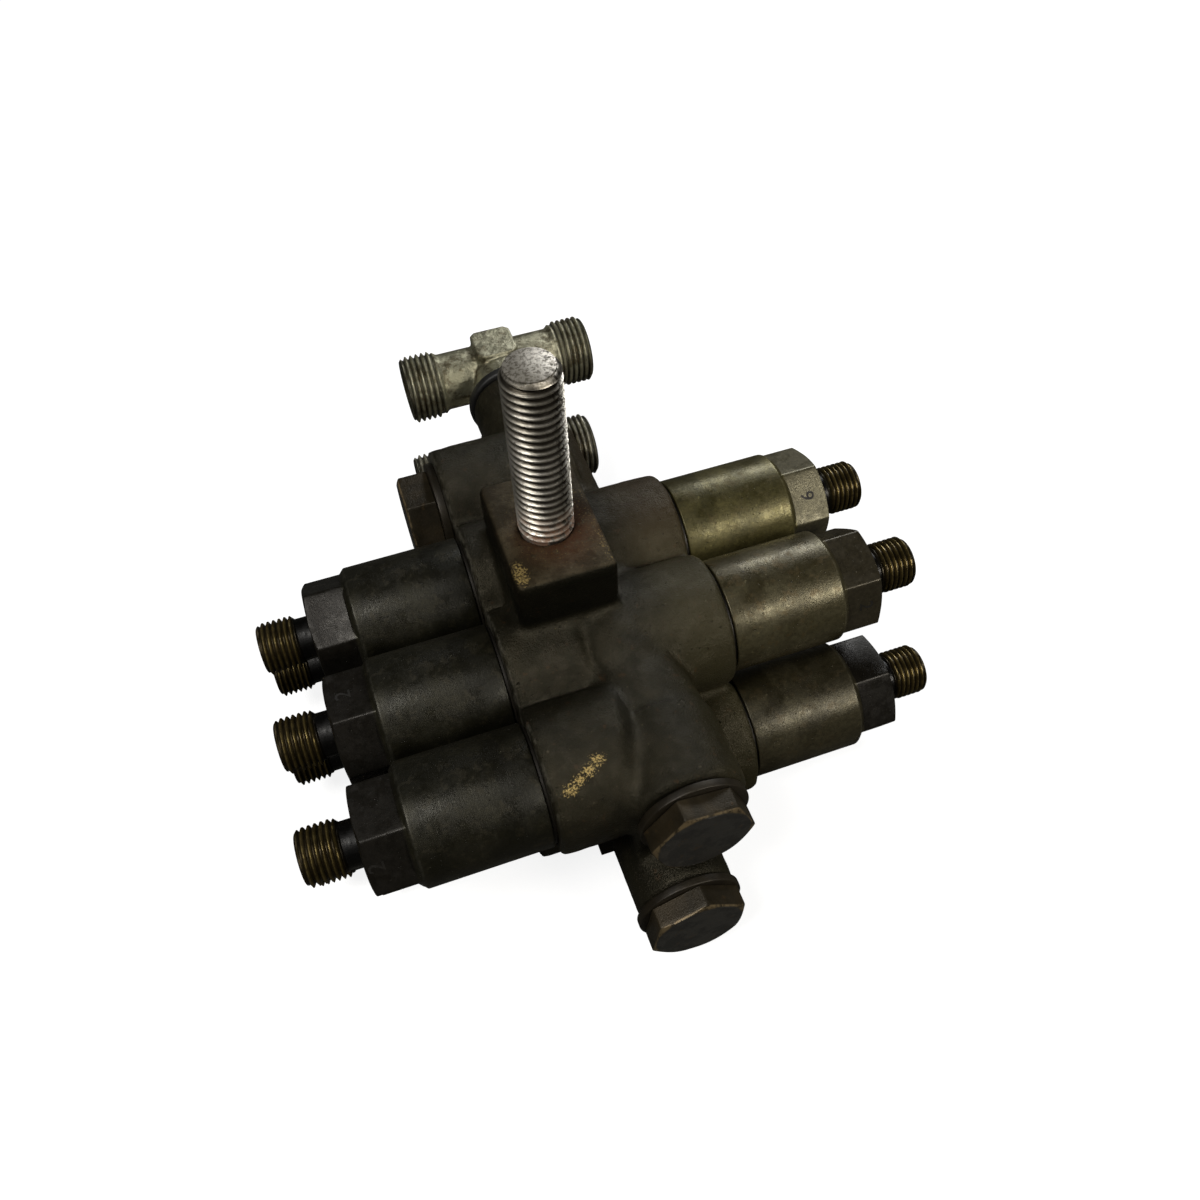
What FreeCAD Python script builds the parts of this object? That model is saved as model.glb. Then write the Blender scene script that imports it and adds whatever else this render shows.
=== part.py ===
import FreeCAD, Part
import os
import re
import Sketcher

# Two-line lubrication distributor.
# Millimetres. Z is up, Y runs along the two supply galleries, X runs along the metering cartridges.
# The origin lies on the flat underside of the casting, below the upper gallery and level with the
# middle pair of upper cartridges.

SIZES = {
    # Casting
    "cartridge_pitch": 26.7,
    "upper_level": 42.0,
    "lower_level": 15.0,
    "boss_radius": 15.4,
    "left_face": 26.7,
    "right_face": 22.4,
    "lower_left_face": 28.9,
    "lower_right_face": 24.0,
    "blind_boss_reach": 6.0,
    "front_boss_reach": 2.0,
    "spine_left": 15.0,
    "spine_right": 12.5,
    "spine_draft": 1.5,
    "spine_front": 28.0,
    "spine_rear": 66.0,
    "spine_cover": 4.0,
    "gallery_rise": 0.6,
    "gallery_radius": 11.0,
    "front_boss_radius": 12.6,
    "front_boss_front": 42.5,
    "front_boss_rear": 24.5,
    "front_web_left": 11.0,
    "front_web_right": 9.0,
    "front_web_front": 41.5,
    "upper_gallery_front": 43.3,
    "upper_gallery_rear": 85.0,
    "lower_gallery_front": 50.3,
    "lower_gallery_rear": 75.0,
    "lower_gallery_left": 2.8,
    "gallery_bore": 3.5,
    "feed_bore": 2.5,
    # Mounting block and stud
    "block_middle_left": 10.2,
    "block_middle_rear": 14.8,
    "block_width": 21.4,
    "block_length": 31.0,
    "block_top": 71.4,
    "block_root": 50.0,
    "block_corner": 3.0,
    "block_edge": 1.8,
    "stud_radius": 5.9,
    "stud_height": 42.4,
    "stud_root_radius": 5.6,
    "stud_depth": 14.0,
    "stud_chamfer": 0.9,
    # Metering cartridge
    "seat_radius": 8.0,
    "seat_depth": 9.5,
    "spigot_length": 9.0,
    "fit_gap": 0.05,
    "ring_thickness": 0.8,
    "ring_radius": 12.5,
    "barrel_radius": 13.1,
    "barrel_length": 27.4,
    "barrel_chamfer": 1.3,
    "hex_across": 22.0,
    "hex_length": 8.8,
    "hex_crown": 0.7,
    "hex_face_drop": 0.2,
    "cut_margin": 1.0,
    "neck_radius": 4.9,
    "neck_length": 3.6,
    "outlet_radius": 6.0,
    "outlet_length": 8.4,
    "outlet_chamfer": 0.8,
    "mouth_radius": 4.1,
    "mouth_depth": 2.2,
    "socket_radius": 3.1,
    "socket_depth": 7.5,
    "channel_radius": 1.75,
    # Metering piston
    "piston_bore": 5.0,
    "piston_bore_length": 27.0,
    "piston_gap": 0.04,
    "piston_length": 15.0,
    "piston_land": 4.0,
    "piston_waist": 3.2,
    "piston_slope": 1.0,
    "piston_start": 0.5,
    # Plugs
    "port_radius": 7.0,
    "port_depth": 8.5,
    "plug_spigot": 8.0,
    "washer_thickness": 2.0,
    "washer_radius": 12.6,
    "plug_across": 19.5,
    "side_plug_hex": 7.6,
    "collar_thickness": 1.8,
    "collar_radius": 11.6,
    "end_plug_hex": 5.2,
    # Inlet tees
    "tee_seal_thickness": 2.6,
    "tee_seal_radius": 11.4,
    "tee_reach": 15.4,
    "tee_stem_radius": 8.6,
    "tee_arm_radius": 7.6,
    "tee_half_length": 25.7,
    "tee_thread_radius": 9.0,
    "tee_thread_length": 8.6,
    "tee_thread_chamfer": 1.0,
    "tee_pad_half": 5.6,
    "tee_pad_height": 9.6,
    "tee_pad_corner": 1.4,
    "tee_bore": 3.5,
    "tee_mouth": 6.2,
    "tee_mouth_depth": 4.0,
}

UPPER_GALLERY = "upper_level + gallery_rise"
LOWER_GALLERY = "lower_level + gallery_rise"
LOWER_MIDDLE = "-lower_gallery_left"

# Stations along the galleries, counted in cartridge pitches. The lower row stands half a pitch further back.
UPPER_LEFT = {"front": -1, "middle": 0, "rear": 1}
UPPER_RIGHT = {"middle": 0, "rear": 1}
LOWER_LEFT = {"front": -0.5, "middle": 0.5, "rear": 1.5}
LOWER_RIGHT = {"front": -0.5}
PLUGGED_STATION = 2

# Every seat that takes a cartridge: its name, the side it faces, that face, its station and its level.
SEATS = [
    (f"{row}_{side_name}_{name}", side, face, number, f"{row}_level")
    for row, side_name, side, face, stations in (
        ("upper", "left", -1, "left_face", UPPER_LEFT),
        ("upper", "right", 1, "right_face", UPPER_RIGHT),
        ("lower", "left", -1, "lower_left_face", LOWER_LEFT),
        ("lower", "right", 1, "lower_right_face", LOWER_RIGHT),
    )
    for name, number in stations.items()
]

# How far each hex stands from having a ridge straight up, in degrees, as it was left when it was tightened:
# towards the front for the cartridges and the side plug, towards the right for the end plugs.
HEX_TURNS = {
    "upper_left_front": 30.0,
    "upper_left_middle": 27.0,
    "upper_left_rear": -6.0,
    "upper_right_middle": 46.0,
    "upper_right_rear": 9.0,
    "lower_left_front": 12.0,
    "lower_left_middle": 20.0,
    "lower_left_rear": 3.0,
    "lower_right_front": 25.0,
    "side_plug": 28.0,
    "upper_end_plug": 37.5,
    "lower_end_plug": 8.0,
}

Y_AXIS = FreeCAD.Vector(0, 1, 0)
Z_AXIS = FreeCAD.Vector(0, 0, 1)

doc = FreeCAD.newDocument("distributor")
sheet = doc.addObject("Spreadsheet::Sheet", "Sizes")
parts = []


def fill_sheet():
    for row, (name, size) in enumerate(SIZES.items(), start=1):
        sheet.set(f"A{row}", name)
        sheet.set(f"B{row}", str(size))
        sheet.setAlias(f"B{row}", name)
    doc.recompute()


def bound(text):
    """Write each size name in a formula as a reference to its cell."""
    return re.sub(r"[a-z][a-z_]*", lambda m: f"Sizes.{m[0]}" if m[0] in SIZES else m[0], text)


def value(text):
    result = sheet.evalExpression(bound(text))
    return float(getattr(result, "Value", result))


def new_body(label):
    body = doc.addObject("PartDesign::Body", label)
    body.Label = label
    parts.append(body)
    return body


def place(body, turn, **coordinates):
    """Turn a body, then bind where its own origin goes."""
    body.Placement = FreeCAD.Placement(FreeCAD.Vector(), turn)
    for axis, text in coordinates.items():
        body.setExpression(f"Placement.Base.{axis}", bound(text))


def plane_of(body, role):
    return next(feature for feature in body.Origin.OriginFeatures if feature.Role == role)


def new_sketch(body, name, role, offset=None):
    sketch = body.newObject("Sketcher::SketchObject", name)
    sketch.AttachmentSupport = [(plane_of(body, role), "")]
    sketch.MapMode = "FlatFace"
    if offset:
        sketch.setExpression("AttachmentOffset.Base.z", bound(offset))
    return sketch


def pin_point(sketch, geometry, point, across, up):
    """Hold one point of a sketch at two distances from its origin."""
    for kind, text in (("DistanceX", across), ("DistanceY", up)):
        index = sketch.addConstraint(Sketcher.Constraint(kind, -1, 1, geometry, point, value(text)))
        sketch.setExpression(f"Constraints[{index}]", bound(text))


def draw_outline(sketch, corners):
    """Draw a closed outline through corners given as pairs of formulas."""
    spots = [FreeCAD.Vector(value(across), value(up), 0) for across, up in corners]
    for here, there in zip(spots, spots[1:] + spots[:1]):
        sketch.addGeometry(Part.LineSegment(here, there), False)
    count = len(corners)
    for number, (across, up) in enumerate(corners):
        sketch.addConstraint(Sketcher.Constraint("Coincident", (number - 1) % count, 2, number, 1))
        pin_point(sketch, number, 1, across, up)


def draw_circle(sketch, across, up, radius):
    centre = FreeCAD.Vector(value(across), value(up), 0)
    circle = sketch.addGeometry(Part.Circle(centre, Z_AXIS, value(radius)), False)
    index = sketch.addConstraint(Sketcher.Constraint("Radius", circle, value(radius)))
    sketch.setExpression(f"Constraints[{index}]", bound(radius))
    pin_point(sketch, circle, 3, across, up)


def turned(body, kind, name, corners):
    """Revolve an outline about the body's own X axis: across is along it, up is the radius."""
    sketch = new_sketch(body, f"{name}_outline", "XY_Plane")
    draw_outline(sketch, corners)
    feature = body.newObject(f"PartDesign::{kind}", name)
    feature.Profile = sketch
    feature.ReferenceAxis = (sketch, ["H_Axis"])
    feature.Angle = 360.0
    return feature


def extruded(body, kind, name, sketch, length, backwards=False):
    feature = body.newObject(f"PartDesign::{kind}", name)
    feature.Profile = sketch
    feature.setExpression("Length", bound(length))
    feature.Reversed = backwards
    return feature


def round_bar(body, name, role, centre, radius, start, length, backwards=False):
    sketch = new_sketch(body, f"{name}_outline", role, start)
    draw_circle(sketch, *centre, radius)
    return extruded(body, "Pad", name, sketch, length, backwards)


def round_hole(body, name, role, centre, radius, start, length, backwards=False):
    sketch = new_sketch(body, f"{name}_outline", role, start)
    draw_circle(sketch, *centre, radius)
    return extruded(body, "Pocket", name, sketch, length, backwards)


def hexagon(body, name, across, turn, start, length):
    """Pad a hexagon across the body's X axis and crown the corners of its outer end."""
    sketch = new_sketch(body, f"{name}_outline", "YZ_Plane", start)
    corner = f"{across} / sqrt(3)"
    face = f"{across} / 2 - hex_face_drop"
    angles = [turn + 60 * number for number in range(6)]
    corners = [(f"{corner} * sin({angle} deg)", f"{corner} * cos({angle} deg)") for angle in angles]
    draw_outline(sketch, corners)
    extruded(body, "Pad", name, sketch, length)
    rim = f"{start} + {length}"
    turned(body, "Groove", f"{name}_crown", [
        (f"{rim} - hex_crown", f"{corner} + cut_margin"),
        (f"{rim} - hex_crown", corner),
        (rim, face),
        (f"{rim} + cut_margin", face),
        (f"{rim} + cut_margin", f"{corner} + cut_margin"),
    ])


def station(number):
    return f"{number} * cartridge_pitch"


def boss(body, name, number, level, left, right):
    """Pad one cartridge boss across the casting, between its reaches on the left and on the right."""
    centre = (station(number), level)
    round_bar(body, name, "YZ_Plane", centre, "boss_radius", f"-{left}", f"{left} + {right}")


def seat(body, name, where, level, face, side):
    """Bore one cartridge seat and the feed hole from it to the gallery."""
    start = f"{side} * {face}"
    inwards = side > 0
    round_hole(body, f"{name}_seat", "YZ_Plane", (where, level), "seat_radius + fit_gap",
               start, "seat_depth", not inwards)
    round_hole(body, f"{name}_feed", "YZ_Plane", (where, level), "feed_bore", start, face, not inwards)


def gallery(body, name, centre, front, rear):
    """Bore a gallery from end to end, with a wider port at each end."""
    round_hole(body, f"{name}_bore", "XZ_Plane", centre, "gallery_bore", front, f"{front} + {rear}")
    round_hole(body, f"{name}_front_port", "XZ_Plane", centre, "port_radius + fit_gap", front, "port_depth")
    round_hole(body, f"{name}_rear_port", "XZ_Plane", centre, "port_radius + fit_gap",
               f"-{rear}", "port_depth", True)


def make_casting():
    body = new_body("manifold_casting")
    spine = new_sketch(body, "spine_outline", "XZ_Plane", "spine_front")
    draw_outline(spine, [
        ("-spine_left", "0"),
        ("spine_right", "0"),
        ("spine_right - spine_draft", "upper_level + spine_cover"),
        ("-spine_left + spine_draft", "upper_level + spine_cover"),
    ])
    extruded(body, "Pad", "spine", spine, "spine_front + spine_rear", True)

    upper_centre = ("0", UPPER_GALLERY)
    lower_centre = (LOWER_MIDDLE, LOWER_GALLERY)
    upper_ends = ("upper_gallery_front", "upper_gallery_rear")
    lower_ends = ("lower_gallery_front", "lower_gallery_rear")
    for name, centre, (front, rear) in (
        ("upper_gallery", upper_centre, upper_ends),
        ("lower_gallery", lower_centre, lower_ends),
    ):
        round_bar(body, name, "XZ_Plane", centre, "gallery_radius", front, f"{front} + {rear}", True)
    round_bar(body, "front_boss", "XZ_Plane", upper_centre, "front_boss_radius",
              "front_boss_front", "front_boss_front - front_boss_rear", True)
    web = new_sketch(body, "front_web_outline", "XY_Plane", LOWER_GALLERY)
    draw_outline(web, [("-front_web_left", "-front_web_front"), ("front_web_right", "-front_web_front"),
                       ("front_web_right", "0"), ("-front_web_left", "0")])
    extruded(body, "Pad", "front_web", web, "upper_level - lower_level")

    for name, number in UPPER_LEFT.items():
        right = "right_face" if name in UPPER_RIGHT else "front_boss_reach"
        boss(body, f"upper_{name}_boss", number, "upper_level", "left_face", right)
    boss(body, "plugged_boss", PLUGGED_STATION, "upper_level", "left_face", "blind_boss_reach")
    for name, number in LOWER_LEFT.items():
        right = "lower_right_face" if name in LOWER_RIGHT else "blind_boss_reach"
        boss(body, f"lower_{name}_boss", number, "lower_level", "lower_left_face", right)

    block = new_sketch(body, "block_outline", "XY_Plane", "block_root")
    draw_outline(block, [
        (f"-block_middle_left + {side} * block_width / 2", f"block_middle_rear + {end} * block_length / 2")
        for side, end in ((-1, -1), (1, -1), (1, 1), (-1, 1))
    ])
    extruded(body, "Pad", "mounting_block", block, "block_top - block_root")
    round_block(body)

    underside = new_sketch(body, "underside_outline", "XY_Plane")
    reach = "2 * left_face"
    draw_outline(underside, [(f"-{reach}", f"-2 * {reach}"), (reach, f"-2 * {reach}"),
                             (reach, f"3 * {reach}"), (f"-{reach}", f"3 * {reach}")])
    extruded(body, "Pocket", "flat_underside", underside, "boss_radius")

    for name, side, face, number, level in SEATS:
        seat(body, name, station(number), level, face, side)
    seat(body, "plugged", station(PLUGGED_STATION), "upper_level", "left_face", -1)
    gallery(body, "upper_gallery", upper_centre, *upper_ends)
    gallery(body, "lower_gallery", lower_centre, *lower_ends)
    round_hole(body, "stud_hole", "XY_Plane", ("-block_middle_left", "block_middle_rear"),
               "stud_root_radius + fit_gap", "block_top", "stud_depth + fit_gap")
    return body


def round_edges(body, name, radius, chosen):
    """Round every edge of the body so far for which the chosen test holds."""
    doc.recompute()
    base = body.Tip
    names = [f"Edge{number}" for number, edge in enumerate(base.Shape.Edges, start=1) if chosen(edge)]
    fillet = body.newObject("PartDesign::Fillet", name)
    fillet.Base = (base, names)
    fillet.setExpression("Radius", bound(radius))
    body.Tip = fillet


def round_block(body):
    """Round the upright edges of the mounting block, then the rim of its top."""
    top = value("block_top")

    def is_upright(edge):
        heights = [vertex.Z for vertex in edge.Vertexes]
        return max(heights) > top - 0.01 and min(heights) < top - 1

    def is_rim(edge):
        return all(abs(vertex.Z - top) < 0.01 for vertex in edge.Vertexes)

    round_edges(body, "block_corners", "block_corner", is_upright)
    round_edges(body, "block_rim", "block_edge", is_rim)


def make_stud():
    body = new_body("mounting_stud")
    length = "stud_depth + stud_height"
    turned(body, "Revolution", "stud", [
        ("0", "0"),
        ("0", "stud_root_radius - stud_chamfer"),
        ("stud_chamfer", "stud_root_radius"),
        ("stud_depth", "stud_root_radius"),
        ("stud_depth", "stud_radius"),
        (f"{length} - stud_chamfer", "stud_radius"),
        (length, "stud_radius - stud_chamfer"),
        (length, "0"),
    ])
    upwards = FreeCAD.Rotation(Y_AXIS, -90)
    place(body, upwards, x="-block_middle_left", y="block_middle_rear", z="block_top - stud_depth")
    return body


def make_cartridge(name, hex_turn):
    """One turned metering cartridge, drawn from the inner end of its spigot outwards."""
    body = new_body(f"{name}_cartridge")
    barrel = "spigot_length"
    hex_start = f"{barrel} + barrel_length"
    neck = f"{hex_start} + hex_length"
    thread = f"{neck} + neck_length"
    end = f"{thread} + outlet_length"
    turned(body, "Revolution", "outside", [
        ("0", "0"),
        ("0", "seat_radius - outlet_chamfer"),
        ("outlet_chamfer", "seat_radius"),
        (barrel, "seat_radius"),
        (barrel, "barrel_radius"),
        (f"{hex_start} - barrel_chamfer", "barrel_radius"),
        (hex_start, "barrel_radius - barrel_chamfer"),
        (hex_start, "neck_radius"),
        (thread, "neck_radius"),
        (thread, "outlet_radius - outlet_chamfer"),
        (f"{thread} + outlet_chamfer", "outlet_radius"),
        (f"{end} - outlet_chamfer", "outlet_radius"),
        (end, "outlet_radius - outlet_chamfer"),
        (end, "0"),
    ])
    hexagon(body, "wrench_hex", "hex_across", hex_turn, hex_start, "hex_length")
    turned(body, "Groove", "inside", [
        ("0", "0"),
        ("0", "piston_bore"),
        ("piston_bore_length", "piston_bore"),
        ("piston_bore_length + piston_bore - channel_radius", "channel_radius"),
        (f"{end} - socket_depth", "channel_radius"),
        (f"{end} - socket_depth", "socket_radius"),
        (f"{end} - mouth_depth", "socket_radius"),
        (end, "mouth_radius"),
        (end, "0"),
    ])
    return body


def make_piston(name):
    """A double-land piston that meters one shot of grease."""
    body = new_body(f"{name}_piston")
    turned(body, "Revolution", "piston", [
        ("0", "0"),
        ("0", "piston_bore - piston_gap"),
        ("piston_land", "piston_bore - piston_gap"),
        ("piston_land + piston_slope", "piston_waist"),
        ("piston_length - piston_land - piston_slope", "piston_waist"),
        ("piston_length - piston_land", "piston_bore - piston_gap"),
        ("piston_length", "piston_bore - piston_gap"),
        ("piston_length", "0"),
    ])
    return body


def make_ring(label, inner, outer, thickness):
    body = new_body(label)
    turned(body, "Revolution", "ring", [
        ("0", f"{inner} + fit_gap"),
        ("0", outer),
        (thickness, outer),
        (thickness, f"{inner} + fit_gap"),
    ])
    return body


def make_plug(label, spigot_radius, shoulder, hex_length, hex_turn):
    """A blank hexagon plug; the hex starts one washer outside the face that it closes."""
    body = new_body(label)
    turned(body, "Revolution", "spigot", [
        ("0", "0"),
        ("0", f"{spigot_radius} - outlet_chamfer"),
        ("outlet_chamfer", spigot_radius),
        (f"plug_spigot + {shoulder}", spigot_radius),
        (f"plug_spigot + {shoulder}", "0"),
    ])
    hexagon(body, "wrench_hex", "plug_across", hex_turn, f"plug_spigot + {shoulder}", hex_length)
    return body


def fit_cartridge(name, hex_turn, face, side, where, level):
    """Put a cartridge, its sealing ring and its piston at one seat."""
    turn = FreeCAD.Rotation(Z_AXIS, 0 if side > 0 else 180)
    inner = f"{side} * ({face} + ring_thickness - spigot_length)"
    place(make_cartridge(name, hex_turn), turn, x=inner, y=where, z=level)
    ring = make_ring(f"{name}_sealing_ring", "seat_radius", "ring_radius", "ring_thickness")
    place(ring, turn, x=f"{side} * {face}", y=where, z=level)
    rest = f"{side} * ({face} + ring_thickness - spigot_length + piston_start)"
    place(make_piston(name), turn, x=rest, y=where, z=level)


def fit_cartridges():
    for name, side, face, number, level in SEATS:
        fit_cartridge(name, -side * HEX_TURNS[name], face, side, station(number), level)


def fit_side_plug():
    turn = FreeCAD.Rotation(Z_AXIS, 180)
    where = station(PLUGGED_STATION)
    washer = make_ring("side_plug_washer", "seat_radius", "washer_radius", "washer_thickness")
    place(washer, turn, x="-left_face", y=where, z="upper_level")
    plug = make_plug("side_plug", "seat_radius", "washer_thickness", "side_plug_hex",
                     HEX_TURNS["side_plug"])
    place(plug, turn, x="-left_face + plug_spigot", y=where, z="upper_level")


def fit_end_plugs():
    forwards = FreeCAD.Rotation(Z_AXIS, -90)
    for name, middle, level, front in (
        ("upper_end_plug", "0 mm", UPPER_GALLERY, "upper_gallery_front"),
        ("lower_end_plug", LOWER_MIDDLE, LOWER_GALLERY, "lower_gallery_front"),
    ):
        washer = make_ring(f"{name}_washer", "port_radius", "collar_radius", "collar_thickness")
        place(washer, forwards, x=middle, y=f"-{front}", z=level)
        plug = make_plug(name, "port_radius", "collar_thickness", "end_plug_hex", HEX_TURNS[name])
        place(plug, forwards, x=middle, y=f"-{front} + plug_spigot", z=level)


def make_tee(label):
    """An inlet tee: threaded arms along X, a stem along -Y and a square pad on top."""
    body = new_body(label)
    half = "tee_half_length"
    thread = f"{half} - tee_thread_length"
    arm = new_sketch(body, "arms_outline", "XY_Plane")
    draw_outline(arm, [
        (f"-{half}", "0"),
        (f"-{half}", "tee_thread_radius - tee_thread_chamfer"),
        (f"-{half} + tee_thread_chamfer", "tee_thread_radius"),
        (f"-({thread})", "tee_thread_radius"),
        (f"-({thread}) + tee_thread_radius - tee_arm_radius", "tee_arm_radius"),
        (f"{thread} - tee_thread_radius + tee_arm_radius", "tee_arm_radius"),
        (thread, "tee_thread_radius"),
        (f"{half} - tee_thread_chamfer", "tee_thread_radius"),
        (half, "tee_thread_radius - tee_thread_chamfer"),
        (half, "0"),
    ])
    arms = body.newObject("PartDesign::Revolution", "arms")
    arms.Profile = arm
    arms.ReferenceAxis = (arm, ["H_Axis"])
    arms.Angle = 360.0

    round_bar(body, "stem", "XZ_Plane", ("0", "0"), "tee_stem_radius", None,
              "tee_reach - tee_seal_thickness")
    round_bar(body, "stem_spigot", "XZ_Plane", ("0", "0"), "port_radius", None,
              "tee_reach + plug_spigot")

    pad = new_sketch(body, "pad_outline", "XY_Plane")
    side = "tee_pad_half"
    cut = "tee_pad_half - tee_pad_corner"
    draw_outline(pad, [
        (f"-{side}", f"-({cut})"), (f"-({cut})", f"-{side}"), (cut, f"-{side}"), (side, f"-({cut})"),
        (side, cut), (cut, side), (f"-({cut})", side), (f"-{side}", cut),
    ])
    extruded(body, "Pad", "top_pad", pad, "tee_pad_height")

    turned(body, "Groove", "run", [
        (f"-{half}", "0"),
        (f"-{half}", "tee_mouth"),
        (f"-{half} + tee_mouth_depth", "tee_bore"),
        (f"{half} - tee_mouth_depth", "tee_bore"),
        (half, "tee_mouth"),
        (half, "0"),
    ])
    round_hole(body, "stem_bore", "XZ_Plane", ("0", "0"), "tee_bore", "tee_reach + plug_spigot",
               "tee_reach + plug_spigot")
    return body


def fit_tees():
    backwards = FreeCAD.Rotation(Z_AXIS, 90)
    upright = FreeCAD.Rotation()
    for name, middle, level, rear in (
        ("upper_inlet_tee", "0 mm", UPPER_GALLERY, "upper_gallery_rear"),
        ("lower_inlet_tee", LOWER_MIDDLE, LOWER_GALLERY, "lower_gallery_rear"),
    ):
        seal = make_ring(f"{name}_seal", "port_radius", "tee_seal_radius", "tee_seal_thickness")
        place(seal, backwards, x=middle, y=rear, z=level)
        place(make_tee(name), upright, x=middle, y=f"{rear} + tee_reach", z=level)


def check_model():
    failed = [item.Name for item in doc.Objects if {"Invalid", "Error"} & set(item.State)]
    if failed:
        raise RuntimeError(f"failed features: {failed}")
    for body in parts:
        if body.Shape.isNull() or not body.Shape.isValid() or len(body.Shape.Solids) != 1:
            raise RuntimeError(f"{body.Label} is not one sound solid")


def write_parts():
    os.makedirs("parts", exist_ok=True)
    for body in parts:
        body.Shape.exportStep(f"parts/{body.Label}.step")
        print(f"{body.Label:38s} {body.Shape.Volume:12.1f} mm3")


fill_sheet()
make_casting()
make_stud()
fit_cartridges()
fit_side_plug()
fit_end_plugs()
fit_tees()
doc.recompute()
check_model()
write_parts()
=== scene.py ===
import math

import bmesh
import bpy
import numpy as np
from mathutils import Matrix, Vector, noise


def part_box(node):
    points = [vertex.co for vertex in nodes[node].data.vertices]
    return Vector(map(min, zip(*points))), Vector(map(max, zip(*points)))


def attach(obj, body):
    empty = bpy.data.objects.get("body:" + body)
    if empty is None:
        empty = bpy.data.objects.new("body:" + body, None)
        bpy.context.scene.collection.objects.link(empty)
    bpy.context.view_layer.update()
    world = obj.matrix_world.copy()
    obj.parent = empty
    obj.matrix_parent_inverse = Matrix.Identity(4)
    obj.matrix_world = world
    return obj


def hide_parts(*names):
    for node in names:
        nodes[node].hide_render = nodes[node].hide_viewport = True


# Lubrication distributor: the looks of a cast manifold with its metering cartridges, plugs, tees and stud.
# Lengths are in millimetres until a mesh is made, and the row frame is in metres.

MM = 0.001
BODY = "distributor"

# Sizes shared with the construction; a turned piece is measured along its own axis from its inner end
SEAT_RADIUS = 8.0
FIT_GAP = 0.05
SPIGOT_LENGTH = 9.0
BARREL_LENGTH = 27.4
HEX_LENGTH = 8.8
NECK_LENGTH = 3.6
OUTLET_LENGTH = 8.4
BARREL_RADIUS = 13.1
BARREL_CHAMFER = 1.3
CARTRIDGE_HEX = 22.0
HEX_CROWN = 0.7
HEX_FACE_DROP = 0.2
NECK_RADIUS = 4.9
PISTON_BORE_RADIUS = 5.0
PISTON_BORE_END = 27.0
PASSAGE_RADIUS = 1.75
SOCKET_RADIUS = 3.1
SOCKET_DEPTH = 7.5
MOUTH_RADIUS = 4.1
MOUTH_DEPTH = 2.2
RING_RADIUS = 12.5
RING_THICKNESS = 0.8
PLUG_HEX = 19.5
PLUG_SPIGOT_LENGTH = 8.0
SIDE_WASHER_THICKNESS = 2.0
SIDE_PLUG_HEX_LENGTH = 7.6
END_PLUG_RADIUS = 7.0
END_WASHER_THICKNESS = 1.8
END_PLUG_HEX_LENGTH = 5.2
SEAL_THICKNESS = 2.6
TEE_REACH = 15.4
TEE_THREAD_START = 17.1
TEE_THREAD_END = 25.6
TEE_HALF_LENGTH = 25.7
STUD_RADIUS = 5.9
STUD_ROOT_RADIUS = 5.6
STUD_DEPTH = 14.0
BOSS_RADIUS = 15.4
BLOCK_LEFT, BLOCK_RIGHT = -20.9, 0.5
BLOCK_FRONT, BLOCK_REAR = -0.7, 30.3
BLOCK_TOP = 71.4

# Where each stretch of a cartridge starts and ends along its axis
BARREL_START = SPIGOT_LENGTH
BARREL_END = BARREL_START + BARREL_LENGTH
HEX_END = BARREL_END + HEX_LENGTH
NECK_END = HEX_END + NECK_LENGTH
OUTLET_END = NECK_END + OUTLET_LENGTH

# Threads: their standard pitch, the radii of crest and root, and how far the ends start below the root
OUTLET_PITCH = 1.25
OUTLET_CREST = 6.0
OUTLET_ROOT = 5.23
STUD_PITCH = 1.75
STUD_ROOT = 4.87
TEE_PITCH = 1.5
TEE_CREST = 9.0
TEE_ROOT = 8.12
ROOT_PLAY = 0.02

# How far each hexagon is turned about its axis, in degrees
HEX_TURNS = {
    "upper_left_front": 30.0,
    "upper_left_middle": 27.0,
    "upper_left_rear": -6.0,
    "upper_right_middle": 46.0,
    "upper_right_rear": 9.0,
    "lower_left_front": 12.0,
    "lower_left_middle": 20.0,
    "lower_left_rear": 3.0,
    "lower_right_front": 25.0,
    "side_plug": 28.0,
    "upper_end_plug": 37.5,
    "lower_end_plug": 8.0,
}

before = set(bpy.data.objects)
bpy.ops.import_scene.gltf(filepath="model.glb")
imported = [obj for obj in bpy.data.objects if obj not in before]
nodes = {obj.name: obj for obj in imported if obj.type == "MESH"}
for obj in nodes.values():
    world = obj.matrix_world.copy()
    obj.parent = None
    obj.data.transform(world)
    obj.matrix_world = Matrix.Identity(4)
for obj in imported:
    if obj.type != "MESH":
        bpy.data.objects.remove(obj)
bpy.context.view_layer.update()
LEFT_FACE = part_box("upper_left_front_sealing_ring")[1].x / MM


# Meshes made of rings about the X axis

def hex_columns():
    """Angles from a ridge, closer together beside each ridge, so that the hexes keep crisp corners."""
    half = [0.0, 0.5, 1.2, 2.4, 4.5, 8.0, 12.5, 17.5, 22.5, 27.0]
    sector = half + [60.0 - angle for angle in reversed(half[1:])]
    return np.radians([60.0 * side + angle for side in range(6) for angle in sector])


def even_columns(count):
    """Angles in equal steps around a full turn."""
    return np.linspace(0, 2 * math.pi, count, endpoint=False)


def hex_radius(angles, across, sharpness=70):
    """Distance from the axis to a hexagon with slightly rounded ridges; a ridge stands at angle zero."""
    total = np.zeros_like(angles)
    for side in range(6):
        facing = np.clip(np.cos(angles - math.radians(30 + 60 * side)), 0, None)
        total += facing**sharpness
    return across / 2 / total ** (1 / sharpness)


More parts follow.
